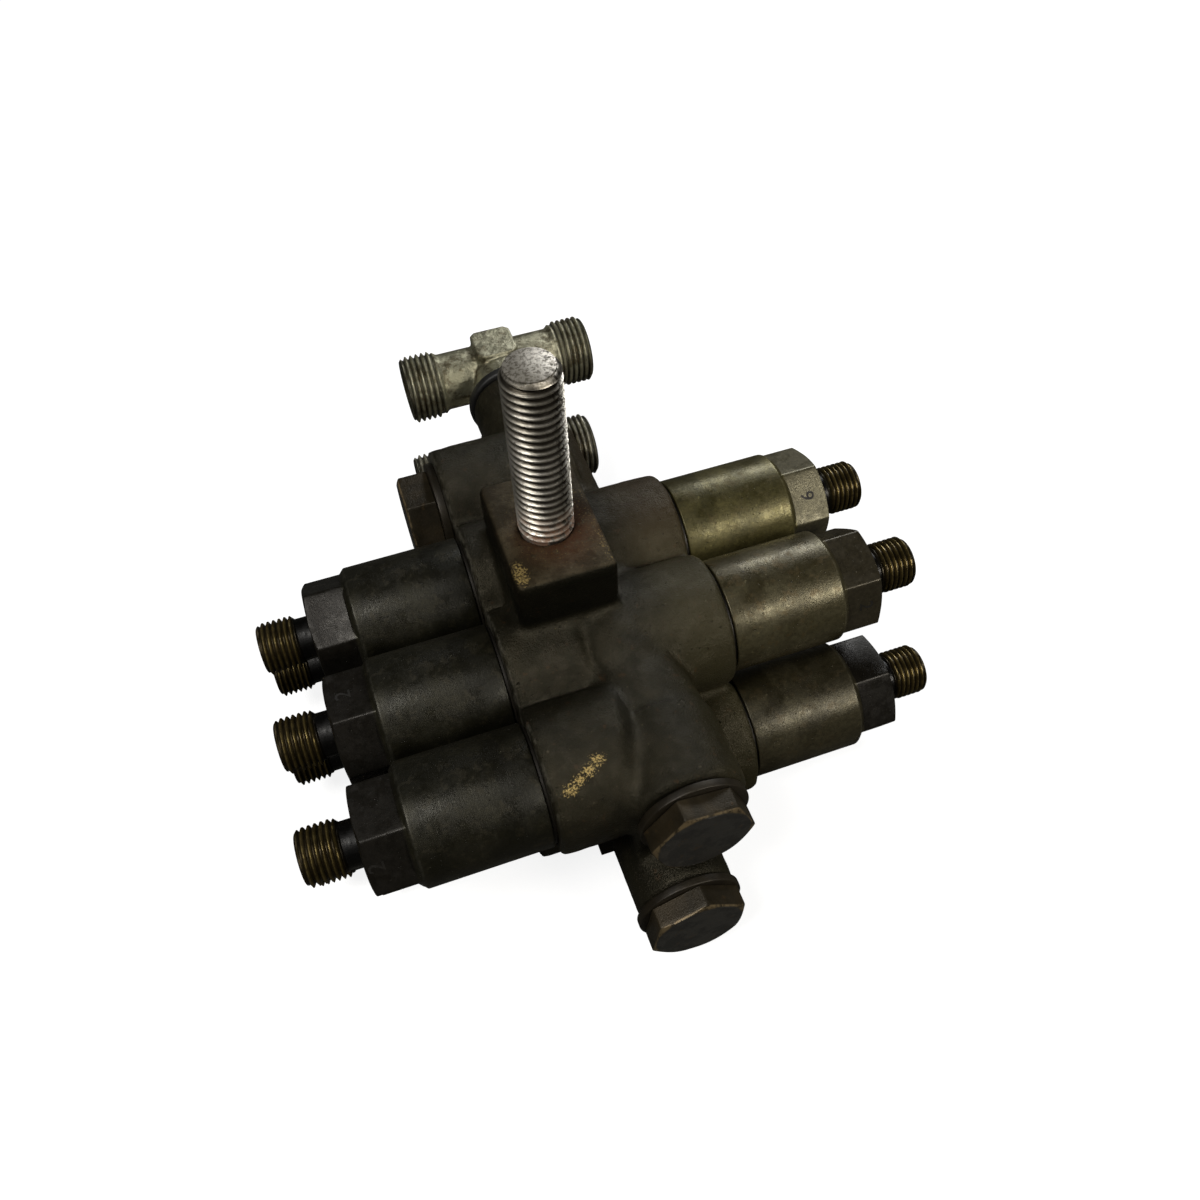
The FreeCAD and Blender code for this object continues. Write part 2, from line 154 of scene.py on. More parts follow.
def rounded(corners, steps=3):
    """A profile through corners (along, out, rounding), each with a small arc in place of its point."""
    rows = []
    last = len(corners) - 1
    for number, (along, out, rounding) in enumerate(corners):
        here = np.array([along, out], float)
        if rounding == 0 or number in (0, last):
            rows.append(tuple(here))
            continue
        back = np.array(corners[number - 1][:2], float) - here
        ahead = np.array(corners[number + 1][:2], float) - here
        start = here + back / np.linalg.norm(back) * rounding
        end = here + ahead / np.linalg.norm(ahead) * rounding
        for step in range(steps + 1):
            t = step / steps
            rows.append(tuple((1 - t) ** 2 * start + 2 * t * (1 - t) * here + t**2 * end))
    return rows


def plain_block(rows, columns):
    """Points and faces of rings that close on themselves; each row is (along, out), numbers or arrays."""
    along = np.array([np.broadcast_to(row[0], columns.shape) for row in rows], float)
    out = np.array([np.broadcast_to(row[1], columns.shape) for row in rows], float)
    return along, out, 0


def thread_block(start, end, pitch, keys, envelope, columns):
    """A helical thread between two places along the axis, drawn on rows that climb with the helix."""
    turns = int(math.ceil((end - start) / pitch)) + 2
    along = []
    out = []
    for turn in range(turns):
        for share, radius in keys:
            place = start - pitch + pitch * (turn + share + columns / (2 * math.pi))
            place = np.clip(place, start, end)
            along.append(place)
            out.append(np.minimum(radius, envelope(place)))
    return np.array(along), np.array(out), len(keys)


def thread_keys(crest, root, crest_share, root_share, softness):
    """One pitch of a thread's outline as (share of the pitch, radius), with softened corners."""
    flank = (1 - crest_share - root_share) / 2
    edge = 0.06 * flank + 0.015
    return [
        (0.0, root),
        (root_share, root),
        (root_share + edge, root + softness),
        (root_share + flank - edge, crest - softness),
        (root_share + flank, crest),
        (root_share + flank + crest_share, crest),
        (root_share + flank + crest_share + edge, crest - softness),
        (1.0 - edge, root + softness),
    ]


def ring_mesh(name, blocks, columns, turn=0.0):
    """Join blocks of rings into one closed mesh."""
    points = []
    faces = []
    count = len(columns)
    angles = columns + math.radians(turn)
    for along, out, shift in blocks:
        base = len(points)
        rows = len(along)
        for row_along, row_out in zip(along, out):
            y = row_out * np.sin(angles)
            z = row_out * np.cos(angles)
            points.extend(zip(row_along * MM, y * MM, z * MM))
        for row in range(rows - 1):
            for column in range(count):
                wrap = column == count - 1
                beside = 0 if wrap else column + 1
                low = min(row + shift, rows - 1) if wrap else row
                high = min(row + 1 + shift, rows - 1) if wrap else row + 1
                faces.append((base + row * count + column, base + low * count + beside,
                              base + high * count + beside, base + (row + 1) * count + column))
    mesh = bpy.data.meshes.new(name)
    mesh.from_pydata(points, [], faces)
    return mesh


def clean_mesh(mesh, sharp=35.0):
    """Merge the points that meet, drop empty faces, turn every face outwards and shade smooth."""
    work = bmesh.new()
    work.from_mesh(mesh)
    bmesh.ops.remove_doubles(work, verts=work.verts, dist=2e-6)
    bmesh.ops.dissolve_degenerate(work, dist=1e-7, edges=work.edges)
    bmesh.ops.recalc_face_normals(work, faces=work.faces)
    work.to_mesh(mesh)
    work.free()
    mesh.shade_smooth()
    mesh.set_sharp_from_angle(angle=math.radians(sharp))


def add_piece(name, mesh, place, material, slot, *replaced):
    """Put a finished mesh in the scene, on the distributor's body, in place of its CAD nodes."""
    piece = bpy.data.objects.new(name, mesh)
    bpy.context.scene.collection.objects.link(piece)
    piece.matrix_world = place
    mesh.materials.clear()
    mesh.materials.append(material)
    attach(piece, BODY)
    if replaced:
        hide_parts(*replaced)
    return piece


# Node materials

def node(tree, kind, **settings):
    """A new shader node of the given kind, with its settings."""
    made = tree.nodes.new(f"ShaderNode{kind}")
    for name, setting in settings.items():
        setattr(made, name, setting)
    return made


def feed(tree, socket, given):
    """Give a socket a value or join it to another node's output."""
    if isinstance(given, bpy.types.NodeSocket):
        tree.links.new(given, socket)
    elif isinstance(given, tuple) and len(given) == 3 and socket.type == "RGBA":
        socket.default_value = (*given, 1.0)
    else:
        socket.default_value = given


def calc(tree, operation, first, second=0.0, third=0.0):
    """The result of a sum or comparison of up to three values."""
    made = node(tree, "Math", operation=operation)
    for socket, given in zip(made.inputs, (first, second, third)):
        feed(tree, socket, given)
    return made.outputs[0]


def cloud(tree, where, scale, detail=3.0, roughness=0.55, stretch=None, distortion=0.0):
    """Soft noise between 0 and 1, with its scale in features per millimetre."""
    if stretch:
        made = node(tree, "Mapping")
        feed(tree, made.inputs["Vector"], where)
        made.inputs["Scale"].default_value = stretch
        where = made.outputs[0]
    made = node(tree, "TexNoise")
    feed(tree, made.inputs["Vector"], where)
    made.inputs["Scale"].default_value = scale
    made.inputs["Detail"].default_value = detail
    made.inputs["Roughness"].default_value = roughness
    made.inputs["Distortion"].default_value = distortion
    return made.outputs["Fac"]


def band(tree, value, low, high):
    """0 below low, 1 above high and smooth between; the other way round where low is the higher."""
    made = node(tree, "MapRange", interpolation_type="SMOOTHSTEP")
    feed(tree, made.inputs["Value"], value)
    flip = low > high
    made.inputs["From Min"].default_value = min(low, high)
    made.inputs["From Max"].default_value = max(low, high)
    made.inputs["To Min"].default_value = 1.0 if flip else 0.0
    made.inputs["To Max"].default_value = 0.0 if flip else 1.0
    return made.outputs["Result"]


def blend(tree, share, first, second):
    """The first colour where share is 0, the second where it is 1."""
    made = node(tree, "Mix", data_type="RGBA")
    feed(tree, made.inputs[0], share)
    feed(tree, made.inputs[6], first)
    feed(tree, made.inputs[7], second)
    return made.outputs[2]


def bump(tree, height, distance):
    """A normal from a height, where a height of 1 stands for the distance in millimetres."""
    made = node(tree, "Bump")
    made.inputs["Strength"].default_value = 1.0
    made.inputs["Distance"].default_value = distance * MM
    feed(tree, made.inputs["Height"], height)
    return made.outputs[0]


def spot(tree, where, centre, radii):
    """1 at a place on the object, falling to 0 at the given distances from it."""
    shift = node(tree, "VectorMath", operation="SUBTRACT")
    feed(tree, shift.inputs[0], where)
    shift.inputs[1].default_value = centre
    scale = node(tree, "VectorMath", operation="DIVIDE")
    feed(tree, scale.inputs[0], shift.outputs[0])
    scale.inputs[1].default_value = radii
    length = node(tree, "VectorMath", operation="LENGTH")
    feed(tree, length.inputs[0], scale.outputs[0])
    return band(tree, length.outputs["Value"], 1.0, 0.25)


def new_group(name, outputs):
    """A shader node group that takes a place in millimetres and gives masks and heights."""
    group = bpy.data.node_groups.new(name, "ShaderNodeTree")
    group.interface.new_socket(name="Place", in_out="INPUT", socket_type="NodeSocketVector")
    for output in outputs:
        group.interface.new_socket(name=output, in_out="OUTPUT", socket_type="NodeSocketFloat")
    start = group.nodes.new("NodeGroupInput")
    end = group.nodes.new("NodeGroupOutput")
    return group, start.outputs["Place"], end.inputs


def make_cast_grain():
    """The skin of sand-cast iron: broad lumps, grain and scattered pits."""
    group, where, ends = new_group("cast_grain", ["Height", "Pits"])
    lumps = cloud(group, where, 0.28, 2.0)
    grain = cloud(group, where, 2.4, 4.0, 0.60)
    fine = cloud(group, where, 6.0, 2.0, 0.6)
    height = calc(group, "MULTIPLY_ADD", grain, 0.6, calc(group, "MULTIPLY", lumps, 0.8))
    height = calc(group, "MULTIPLY_ADD", fine, 0.22, height)
    pits = band(group, cloud(group, where, 1.5, 1.0), 0.31, 0.22)
    feed(group, ends["Height"], calc(group, "MULTIPLY_ADD", pits, -0.8, height))
    feed(group, ends["Pits"], pits)
    return group


def make_oil_film():
    """Old oil and grease: broad stains, streaky wet patches and small dark spots."""
    group, where, ends = new_group("oil_film", ["Stain", "Wet", "Spots"])
    feed(group, ends["Stain"], band(group, cloud(group, where, 0.09, 4.0, 0.6, distortion=0.6), 0.38, 0.64))
    feed(group, ends["Wet"], band(group, cloud(group, where, 0.22, 5.0, 0.65), 0.42, 0.6))
    feed(group, ends["Spots"], band(group, cloud(group, where, 0.75, 2.0, 0.5), 0.69, 0.76))
    return group


def make_tool_marks():
    """Fine rings left by the lathe, and scratches along the piece from handling."""
    group, where, ends = new_group("tool_marks", ["Height", "Scratches"])
    rings = cloud(group, where, 1.0, 3.0, 0.7, stretch=(9.0, 0.05, 0.05))
    dents = cloud(group, where, 2.2, 3.0, 0.6)
    feed(group, ends["Height"], calc(group, "MULTIPLY_ADD", rings, 0.35, calc(group, "MULTIPLY", dents, 0.5)))
    streaks = cloud(group, where, 1.0, 4.0, 0.6, stretch=(0.25, 3.5, 3.5), distortion=0.3)
    feed(group, ends["Scratches"], band(group, streaks, 0.66, 0.74))
    return group


def make_corrosion():
    """Pitting and rust blooms, with a yellow halo around each bloom."""
    group, where, ends = new_group("corrosion", ["Pits", "Bloom", "Halo"])
    field = cloud(group, where, 0.42, 4.0, 0.62)
    feed(group, ends["Pits"], band(group, cloud(group, where, 1.5, 2.0, 0.45), 0.70, 0.75))
    feed(group, ends["Bloom"], band(group, field, 0.62, 0.7))
    feed(group, ends["Halo"], band(group, field, 0.54, 0.66))
    return group


CAST_GRAIN = make_cast_grain()
OIL_FILM = make_oil_film()
TOOL_MARKS = make_tool_marks()
CORROSION = make_corrosion()


def use(tree, group, where):
    """Place an effect group in a material and give its outputs."""
    made = node(tree, "Group")
    made.node_tree = group
    feed(tree, made.inputs["Place"], where)
    return made.outputs


def new_material(name):
    """A material's tree, the place on the object in millimetres, and its one Principled shader."""
    material = bpy.data.materials.new(name)
    material.use_nodes = True
    tree = material.node_tree
    shader = tree.nodes["Principled BSDF"]
    spot_on = node(tree, "TexCoord")
    scale = node(tree, "VectorMath", operation="SCALE")
    feed(tree, scale.inputs[0], spot_on.outputs["Object"])
    scale.inputs["Scale"].default_value = 1 / MM
    return material, tree, scale.outputs[0], shader


def along_axis(tree, where, axis="X"):
    """One coordinate of a place."""
    made = node(tree, "SeparateXYZ")
    feed(tree, made.inputs[0], where)
    return made.outputs[axis]


def from_axis(tree, where):
    """Distance from the piece's own X axis."""
    flat = node(tree, "VectorMath", operation="MULTIPLY")
    feed(tree, flat.inputs[0], where)
    flat.inputs[1].default_value = (0.0, 1.0, 1.0)
    length = node(tree, "VectorMath", operation="LENGTH")
    feed(tree, length.inputs[0], flat.outputs[0])
    return length.outputs["Value"]


# Places on the casting where its dark skin has gone
BRASS_PATCH = ((-22.6, -36.9, 54.2), (-20.4, -35.9, 55.1), (-18.2, -34.9, 55.7), (-16.0, -33.6, 56.4))
BRASS_PATCH_REACH = (3.0, 2.6, 2.6)
BLOCK_CORNER_PATCH = (-19.2, 3.6, BLOCK_TOP)
BLOCK_CORNER_REACH = (3.0, 5.5, 3.0)
BLOCK_EDGE_PATCH = (-0.5, 6.0, BLOCK_TOP)
BLOCK_EDGE_REACH = (2.6, 13.0, 2.5)
BLOCK_TOP_MIDDLE = (-8.0, 15.0, BLOCK_TOP)
BLOCK_TOP_REACH = (13.0, 16.0, 1.5)
STUD_RUST = (-8.6, 12.0, BLOCK_TOP)
STUD_RUST_REACH = (12.5, 13.0, 3.0)


def worn_iron(tree, where):
    """Brass-coloured flakes on the front left boss and on the block's edges, and flecks on its top."""
    worn = spot(tree, where, BLOCK_CORNER_PATCH, BLOCK_CORNER_REACH)
    for place in BRASS_PATCH:
        worn = calc(tree, "MAXIMUM", worn, spot(tree, where, place, BRASS_PATCH_REACH))
    rim = calc(tree, "MULTIPLY", spot(tree, where, BLOCK_EDGE_PATCH, BLOCK_EDGE_REACH), 0.5)
    worn = calc(tree, "ADD", worn, rim)
    flakes = cloud(tree, where, 2.6, 4.0, 0.7)
    worn = band(tree, calc(tree, "MULTIPLY_ADD", worn, 0.26, flakes), 0.71, 0.78)
    flecks = band(tree, cloud(tree, where, 2.2, 3.0, 0.65), 0.58, 0.66)
    top = spot(tree, where, BLOCK_TOP_MIDDLE, BLOCK_TOP_REACH)
    return calc(tree, "MAXIMUM", worn, calc(tree, "MULTIPLY", calc(tree, "MULTIPLY", top, flecks), 0.7))


def rubbed_and_highlit_boss_edge(tree, where):
    """The upper part of the left bosses' outer edges, paler in places: rubbed wear with a painted highlight.
    """
    edge = calc(tree, "MULTIPLY", band(tree, along_axis(tree, where), LEFT_FACE + 0.9, LEFT_FACE + 0.4),
                band(tree, along_axis(tree, where, "Z"), 46.0, 52.0))
    return calc(tree, "MULTIPLY", edge, band(tree, cloud(tree, where, 0.4, 5.0, 0.7), 0.42, 0.58))


def stud_rust(tree, where):
    """Rust on the block's top around the stud's root."""
    root = spot(tree, where, STUD_RUST, STUD_RUST_REACH)
    return calc(tree, "MULTIPLY", root, band(tree, cloud(tree, where, 0.6, 5.0, 0.7), 0.30, 0.50))


def painted_block_wall_shade(tree, where):
    """Where the block's walls stand, without its top: the mask for their painted shade."""
    level = along_axis(tree, where, "Z")
    return calc(tree, "MULTIPLY", band(tree, level, 58.0, 60.0),
                band(tree, level, BLOCK_TOP - 0.1, BLOCK_TOP - 0.7))


def cast_iron():
    """Dark oily iron, browner at the right and rear, dusty and rusty on top of the block, with painted shade
    on the block's walls and a painted highlight on the left bosses' upper edges.
    """
    material, tree, where, shader = new_material("oily_cast_iron")
    grain = use(tree, CAST_GRAIN, where)
    oil = use(tree, OIL_FILM, where)
    rust = use(tree, CORROSION, where)
    right = band(tree, along_axis(tree, where), 2.0, 16.0)
    rear = band(tree, along_axis(tree, where, "Y"), 8.0, 26.0)

    colour = blend(tree, oil["Stain"], (0.006, 0.0055, 0.0032), (0.012, 0.0105, 0.006))
    colour = blend(tree, calc(tree, "MULTIPLY", right, 0.7), colour, (0.030, 0.0255, 0.011))
    warm = calc(tree, "MULTIPLY", calc(tree, "MULTIPLY", right, rear), 0.6)
    colour = blend(tree, warm, colour, (0.034, 0.019, 0.008))
    high = band(tree, along_axis(tree, where, "Z"), 60.0, 70.9)
    dusty = calc(tree, "MULTIPLY", high, band(tree, along_axis(tree, where, "Y"), -0.6, 0.3))
    dust = blend(tree, oil["Wet"], (0.020, 0.014, 0.007), (0.042, 0.031, 0.016))
    colour = blend(tree, calc(tree, "MULTIPLY", dusty, 0.8), colour, dust)
    colour = blend(tree, calc(tree, "MULTIPLY", grain["Pits"], 0.6), colour, (0.004, 0.0038, 0.003))
    colour = blend(tree, calc(tree, "MULTIPLY", oil["Spots"], 0.35), colour, (0.10, 0.085, 0.055))

    # Paler upper edges of the left bosses: rubbed wear and a painted highlight.
    edge = rubbed_and_highlit_boss_edge(tree, where)
    colour = blend(tree, calc(tree, "MULTIPLY", edge, 0.6), colour, (0.075, 0.070, 0.055))
    worn = worn_iron(tree, where)
    colour = blend(tree, calc(tree, "MULTIPLY", worn, 0.9), colour, (0.42, 0.31, 0.12))
    rusty = stud_rust(tree, where)
    colour = blend(tree, calc(tree, "MULTIPLY", rusty, 0.85), colour, (0.040, 0.013, 0.005))
    colour = blend(tree, calc(tree, "MULTIPLY", rust["Bloom"], 0.22), colour, (0.075, 0.035, 0.014))
    # Painted shade: the block's walls are painted near black, with less gloss.
    wall_shade = painted_block_wall_shade(tree, where)
    colour = blend(tree, calc(tree, "MULTIPLY", wall_shade, 0.75), colour, (0.003, 0.003, 0.002))

    rough = calc(tree, "MULTIPLY_ADD", oil["Wet"], -0.06, 0.42)
    rough = calc(tree, "MULTIPLY_ADD", rusty, 0.25, calc(tree, "MULTIPLY_ADD", dusty, 0.22, rough))
    feed(tree, shader.inputs["Roughness"], rough)
    feed(tree, shader.inputs["Metallic"], calc(tree, "MULTIPLY", worn, 0.8))
    gloss = calc(tree, "MULTIPLY_ADD", right, 0.05, 0.24)
    gloss = calc(tree, "MULTIPLY_ADD", oil["Wet"], 0.10, gloss)
    gloss = calc(tree, "MULTIPLY", gloss, calc(tree, "MULTIPLY_ADD", wall_shade, -0.7, 1.0))
    feed(tree, shader.inputs["Specular IOR Level"], gloss)
    feed(tree, shader.inputs["Base Color"], colour)
    shader.inputs["Specular Tint"].default_value = (1.0, 0.90, 0.68, 1.0)
    feed(tree, shader.inputs["Normal"], bump(tree, grain["Height"], 0.34))
    return material


def outlet_brass(tree, where, outlet):
    """Brownish brass on the outlet's crests, darker in its grooves from oil and painted shade, and painted
    near black inside its bore as painted shade.
    """
    out = from_axis(tree, where)
    # Darker thread roots: oil in them and painted shade.
    brass = blend(tree, band(tree, out, OUTLET_ROOT + 0.02, OUTLET_CREST - 0.05),
                  (0.020, 0.015, 0.006), (0.14, 0.105, 0.036))
    worn = band(tree, cloud(tree, where, 0.7, 5.0, 0.7), 0.42, 0.62)
    brass = blend(tree, calc(tree, "MULTIPLY", worn, 0.7), brass, (0.040, 0.029, 0.013))
    # Painted shade: the inside of the bore is painted near black.
    bore = calc(tree, "MULTIPLY", band(tree, out, MOUTH_RADIUS + 0.3, MOUTH_RADIUS - 0.1), outlet)
    return blend(tree, bore, brass, (0.006, 0.005, 0.004))


def cartridge_steel(name, dark, light, gloss, pitted, halo, hexed):
    """Turned steel with a dark oily skin; the undercut neck is painted near black as painted shade, and the
    outlet thread is brownish brass.
    """
    material, tree, where, shader = new_material(name)
    oil = use(tree, OIL_FILM, where)
    marks = use(tree, TOOL_MARKS, where)
    rust = use(tree, CORROSION, where)
    along = along_axis(tree, where)

    colour = blend(tree, oil["Stain"], dark, light)
    mottled = band(tree, cloud(tree, where, 1.1, 5.0, 0.7), 0.38, 0.62)
    colour = blend(tree, calc(tree, "MULTIPLY", mottled, 0.4), colour, tuple(0.45 * part for part in dark))
    grey = calc(tree, "MULTIPLY", band(tree, cloud(tree, where, 0.16, 3.0), 0.45, 0.7), 0.35)
    colour = blend(tree, grey, colour, tuple(0.8 * part + 0.006 for part in light))
    colour = blend(tree, calc(tree, "MULTIPLY", marks["Scratches"], 0.22), colour,
                   tuple(1.9 * part + 0.006 for part in light))
    colour = blend(tree, calc(tree, "MULTIPLY", rust["Halo"], 0.35), colour, halo)
    colour = blend(tree, calc(tree, "MULTIPLY", rust["Pits"], pitted), colour, (0.006, 0.005, 0.004))
    colour = blend(tree, calc(tree, "MULTIPLY", oil["Spots"], 0.45), colour,
                   tuple(2.2 * part + 0.008 for part in light))

    specks = band(tree, cloud(tree, where, 2.8, 2.0, 0.5), 0.66, 0.71)
    colour = blend(tree, calc(tree, "MULTIPLY", specks, 0.6), colour, (0.005, 0.004, 0.003))
    colour = blend(tree, band(tree, along, BARREL_END - 0.6, BARREL_END + 0.2), colour,
                   blend(tree, mottled, hexed, tuple(0.7 * part for part in hexed)))
    edge = calc(tree, "MULTIPLY", band(tree, along, BARREL_END - 1.75, BARREL_END - 1.35),
                band(tree, along, BARREL_END - 0.75, BARREL_END - 1.15))
    edge = calc(tree, "MULTIPLY", edge, band(tree, cloud(tree, where, 0.35, 4.0, 0.7), 0.38, 0.58))
    colour = blend(tree, calc(tree, "MULTIPLY", edge, 0.3), colour,
                   tuple(1.6 * part + 0.04 for part in light))

    outlet = band(tree, along, NECK_END - 0.6, NECK_END + 0.4)
    # Painted shade: the undercut neck under the hexagon is painted near black.
    neck = calc(tree, "MULTIPLY", band(tree, along, HEX_END - 0.1, HEX_END + 0.3),
                calc(tree, "SUBTRACT", 1.0, outlet))
    brass = outlet_brass(tree, where, outlet)
    colour = blend(tree, outlet, colour, brass)
    colour = blend(tree, neck, colour, (0.004, 0.0035, 0.003))

    rough = calc(tree, "MULTIPLY_ADD", oil["Wet"], -0.12, gloss)
    rough = calc(tree, "MULTIPLY_ADD", rust["Halo"], 0.10, rough)
    metal = calc(tree, "MULTIPLY_ADD", outlet, 0.25, 0.55)
    height = calc(tree, "MULTIPLY_ADD", rust["Pits"], -1.2, marks["Height"])
    feed(tree, shader.inputs["Base Color"], colour)
    feed(tree, shader.inputs["Roughness"], rough)
    feed(tree, shader.inputs["Metallic"], metal)
    feed(tree, shader.inputs["Normal"], bump(tree, height, 0.07))
    return material


def stud_steel():
    """Bright rolled steel with oil and painted shade in its thread roots, a speckled end, rust at its root,
    and grime with painted shade on its right side.
    """
    material, tree, where, shader = new_material("rolled_stud_steel")
    marks = use(tree, TOOL_MARKS, where)
    rust = use(tree, CORROSION, where)
    oil = use(tree, OIL_FILM, where)
    along = along_axis(tree, where)
    colour = blend(tree, oil["Stain"], (0.42, 0.39, 0.33), (0.66, 0.62, 0.55))
    colour = blend(tree, calc(tree, "MULTIPLY", marks["Scratches"], 0.3), colour, (0.75, 0.72, 0.66))
    # Darker thread roots: oil in them and painted shade.
    groove = calc(tree, "MULTIPLY", band(tree, from_axis(tree, where), 5.82, 5.30),
                  band(tree, along, 55.4, 54.8))
    colour = blend(tree, calc(tree, "MULTIPLY", groove, 0.9), colour, (0.035, 0.028, 0.018))
    speckle = band(tree, cloud(tree, where, 1.6, 4.0, 0.65), 0.46, 0.60)
    end = band(tree, along, 54.6, 55.4)
    colour = blend(tree, calc(tree, "MULTIPLY", speckle, calc(tree, "MULTIPLY_ADD", end, 0.45, 0.2)),
                   colour, (0.085, 0.070, 0.046))
    colour = blend(tree, calc(tree, "MULTIPLY", rust["Pits"], 0.8), colour, (0.03, 0.022, 0.014))
    low = band(tree, along, 24.0, 14.5)
    field = band(tree, cloud(tree, where, 0.45, 4.0, 0.7), 0.40, 0.6)
    rusty = calc(tree, "MULTIPLY", low, field)
    colour = blend(tree, calc(tree, "MULTIPLY", rusty, 0.8), colour, (0.16, 0.065, 0.025))
    # Dark blotches on the stud's right side only: grime and painted shade.
    grime_and_side_shade = calc(tree, "MULTIPLY", band(tree, cloud(tree, where, 1.2, 3.0, 0.6), 0.50, 0.60),
                 band(tree, along_axis(tree, where, "Z"), -0.5, -4.0))
    colour = blend(tree, calc(tree, "MULTIPLY", grime_and_side_shade, 0.85), colour, (0.022, 0.016, 0.009))
    rough = calc(tree, "MULTIPLY_ADD", rusty, 0.35, 0.32)
    rough = calc(tree, "MULTIPLY_ADD", end, 0.16, rough)
    feed(tree, shader.inputs["Base Color"], colour)
    feed(tree, shader.inputs["Roughness"], rough)
    feed(tree, shader.inputs["Metallic"], calc(tree, "MULTIPLY_ADD", rusty, -0.7, 0.95))
    feed(tree, shader.inputs["Normal"], bump(tree, marks["Height"], 0.08))
    return material


def tee_zinc(name, dark, light):
    """Zinc plating over a rough forging, with brown dirt, and oil and painted shade in its thread roots."""
    material, tree, where, shader = new_material(name)
    marks = use(tree, TOOL_MARKS, where)
    grain = use(tree, CAST_GRAIN, where)
    oil = use(tree, OIL_FILM, where)
    rust = use(tree, CORROSION, where)
    colour = blend(tree, oil["Stain"], dark, light)
    colour = blend(tree, calc(tree, "MULTIPLY", oil["Wet"], 0.3), colour, tuple(0.5 * part for part in light))
    colour = blend(tree, calc(tree, "MULTIPLY", marks["Scratches"], 0.3), colour, (0.55, 0.53, 0.42))
    colour = blend(tree, calc(tree, "MULTIPLY", rust["Bloom"], 0.35), colour, (0.10, 0.075, 0.03))
    # Darker thread roots: oil in them and painted shade.
    threaded = band(tree, calc(tree, "ABSOLUTE", along_axis(tree, where)), 16.6, 17.2)
    groove = calc(tree, "MULTIPLY", band(tree, from_axis(tree, where), 8.75, 8.2), threaded)
    colour = blend(tree, calc(tree, "MULTIPLY", groove, 0.85), colour, (0.022, 0.020, 0.012))
    dirt = band(tree, cloud(tree, where, 0.3, 5.0, 0.7), 0.46, 0.64)
    colour = blend(tree, calc(tree, "MULTIPLY", dirt, 0.75), colour, (0.070, 0.052, 0.022))
    rough = calc(tree, "MULTIPLY_ADD", oil["Wet"], -0.1, 0.42)
    lumps = cloud(tree, where, 0.35, 2.0)
    height = calc(tree, "MULTIPLY_ADD", grain["Height"], 1.0, marks["Height"])
    height = calc(tree, "MULTIPLY_ADD", lumps, 3.5, height)
    feed(tree, shader.inputs["Base Color"], colour)
    feed(tree, shader.inputs["Roughness"], rough)
    shader.inputs["Metallic"].default_value = 0.75
    feed(tree, shader.inputs["Normal"], bump(tree, height, 0.14))
    return material


def plug_steel(name, face_end):
    """Dark oily plug with lighter worn ridges around the crown of its hex."""
    material, tree, where, shader = new_material(name)
    marks = use(tree, TOOL_MARKS, where)
    oil = use(tree, OIL_FILM, where)
    rust = use(tree, CORROSION, where)
    along = along_axis(tree, where)
    colour = blend(tree, oil["Stain"], (0.022, 0.017, 0.009), (0.042, 0.031, 0.016))
    face = band(tree, along, face_end - 0.25, face_end - 0.05)
    colour = blend(tree, face, colour, blend(tree, oil["Wet"], (0.030, 0.029, 0.027), (0.046, 0.044, 0.040)))
    rim = calc(tree, "MULTIPLY", band(tree, along, face_end - 0.75, face_end - 0.5),
               band(tree, along, face_end - 0.08, face_end - 0.25))
    rim = calc(tree, "MULTIPLY", rim, band(tree, cloud(tree, where, 0.5, 4.0, 0.7), 0.36, 0.56))
    colour = blend(tree, calc(tree, "MULTIPLY", rim, 0.55), colour, (0.26, 0.19, 0.10))
    colour = blend(tree, calc(tree, "MULTIPLY", rust["Bloom"], 0.4), colour, (0.075, 0.045, 0.018))
    colour = blend(tree, calc(tree, "MULTIPLY", marks["Scratches"], 0.2), colour, (0.12, 0.10, 0.07))
    rough = calc(tree, "MULTIPLY_ADD", oil["Wet"], -0.12, 0.46)
    feed(tree, shader.inputs["Base Color"], colour)
    feed(tree, shader.inputs["Roughness"], rough)
    shader.inputs["Metallic"].default_value = 0.5
    feed(tree, shader.inputs["Normal"], bump(tree, marks["Height"], 0.10))
    return material


def ring_metal(name, dark, light, metallic, rough):
    """Washers, rings, seals and pistons: one tone, fine marks and a little oil."""
    material, tree, where, shader = new_material(name)
    marks = use(tree, TOOL_MARKS, where)
    oil = use(tree, OIL_FILM, where)
    colour = blend(tree, oil["Stain"], dark, light)
    colour = blend(tree, calc(tree, "MULTIPLY", marks["Scratches"], 0.25), colour,
                   tuple(1.8 * part for part in light))
    feed(tree, shader.inputs["Base Color"], colour)
    feed(tree, shader.inputs["Roughness"], calc(tree, "MULTIPLY_ADD", oil["Wet"], -0.1, rough))
    shader.inputs["Metallic"].default_value = metallic
    feed(tree, shader.inputs["Normal"], bump(tree, marks["Height"], 0.06))
    return material


IRON = cast_iron()
LEFT_STEEL = cartridge_steel("charcoal_cartridge_steel", (0.012, 0.011, 0.006), (0.021, 0.019, 0.010),
                             0.45, 0.4, (0.034, 0.028, 0.014), (0.013, 0.011, 0.008))
REAR_STEEL = cartridge_steel("olive_cartridge_steel", (0.058, 0.050, 0.016), (0.112, 0.096, 0.034),
                             0.40, 0.5, (0.072, 0.052, 0.016), (0.110, 0.098, 0.058))
MIDDLE_STEEL = cartridge_steel("bronze_cartridge_steel", (0.050, 0.041, 0.018), (0.092, 0.080, 0.042),
                               0.38, 0.6, (0.080, 0.050, 0.014), (0.048, 0.040, 0.024))
FRONT_STEEL = cartridge_steel("brown_cartridge_steel", (0.030, 0.025, 0.012), (0.064, 0.055, 0.030),
                              0.40, 0.5, (0.052, 0.036, 0.013), (0.013, 0.011, 0.008))
STUD_STEEL = stud_steel()
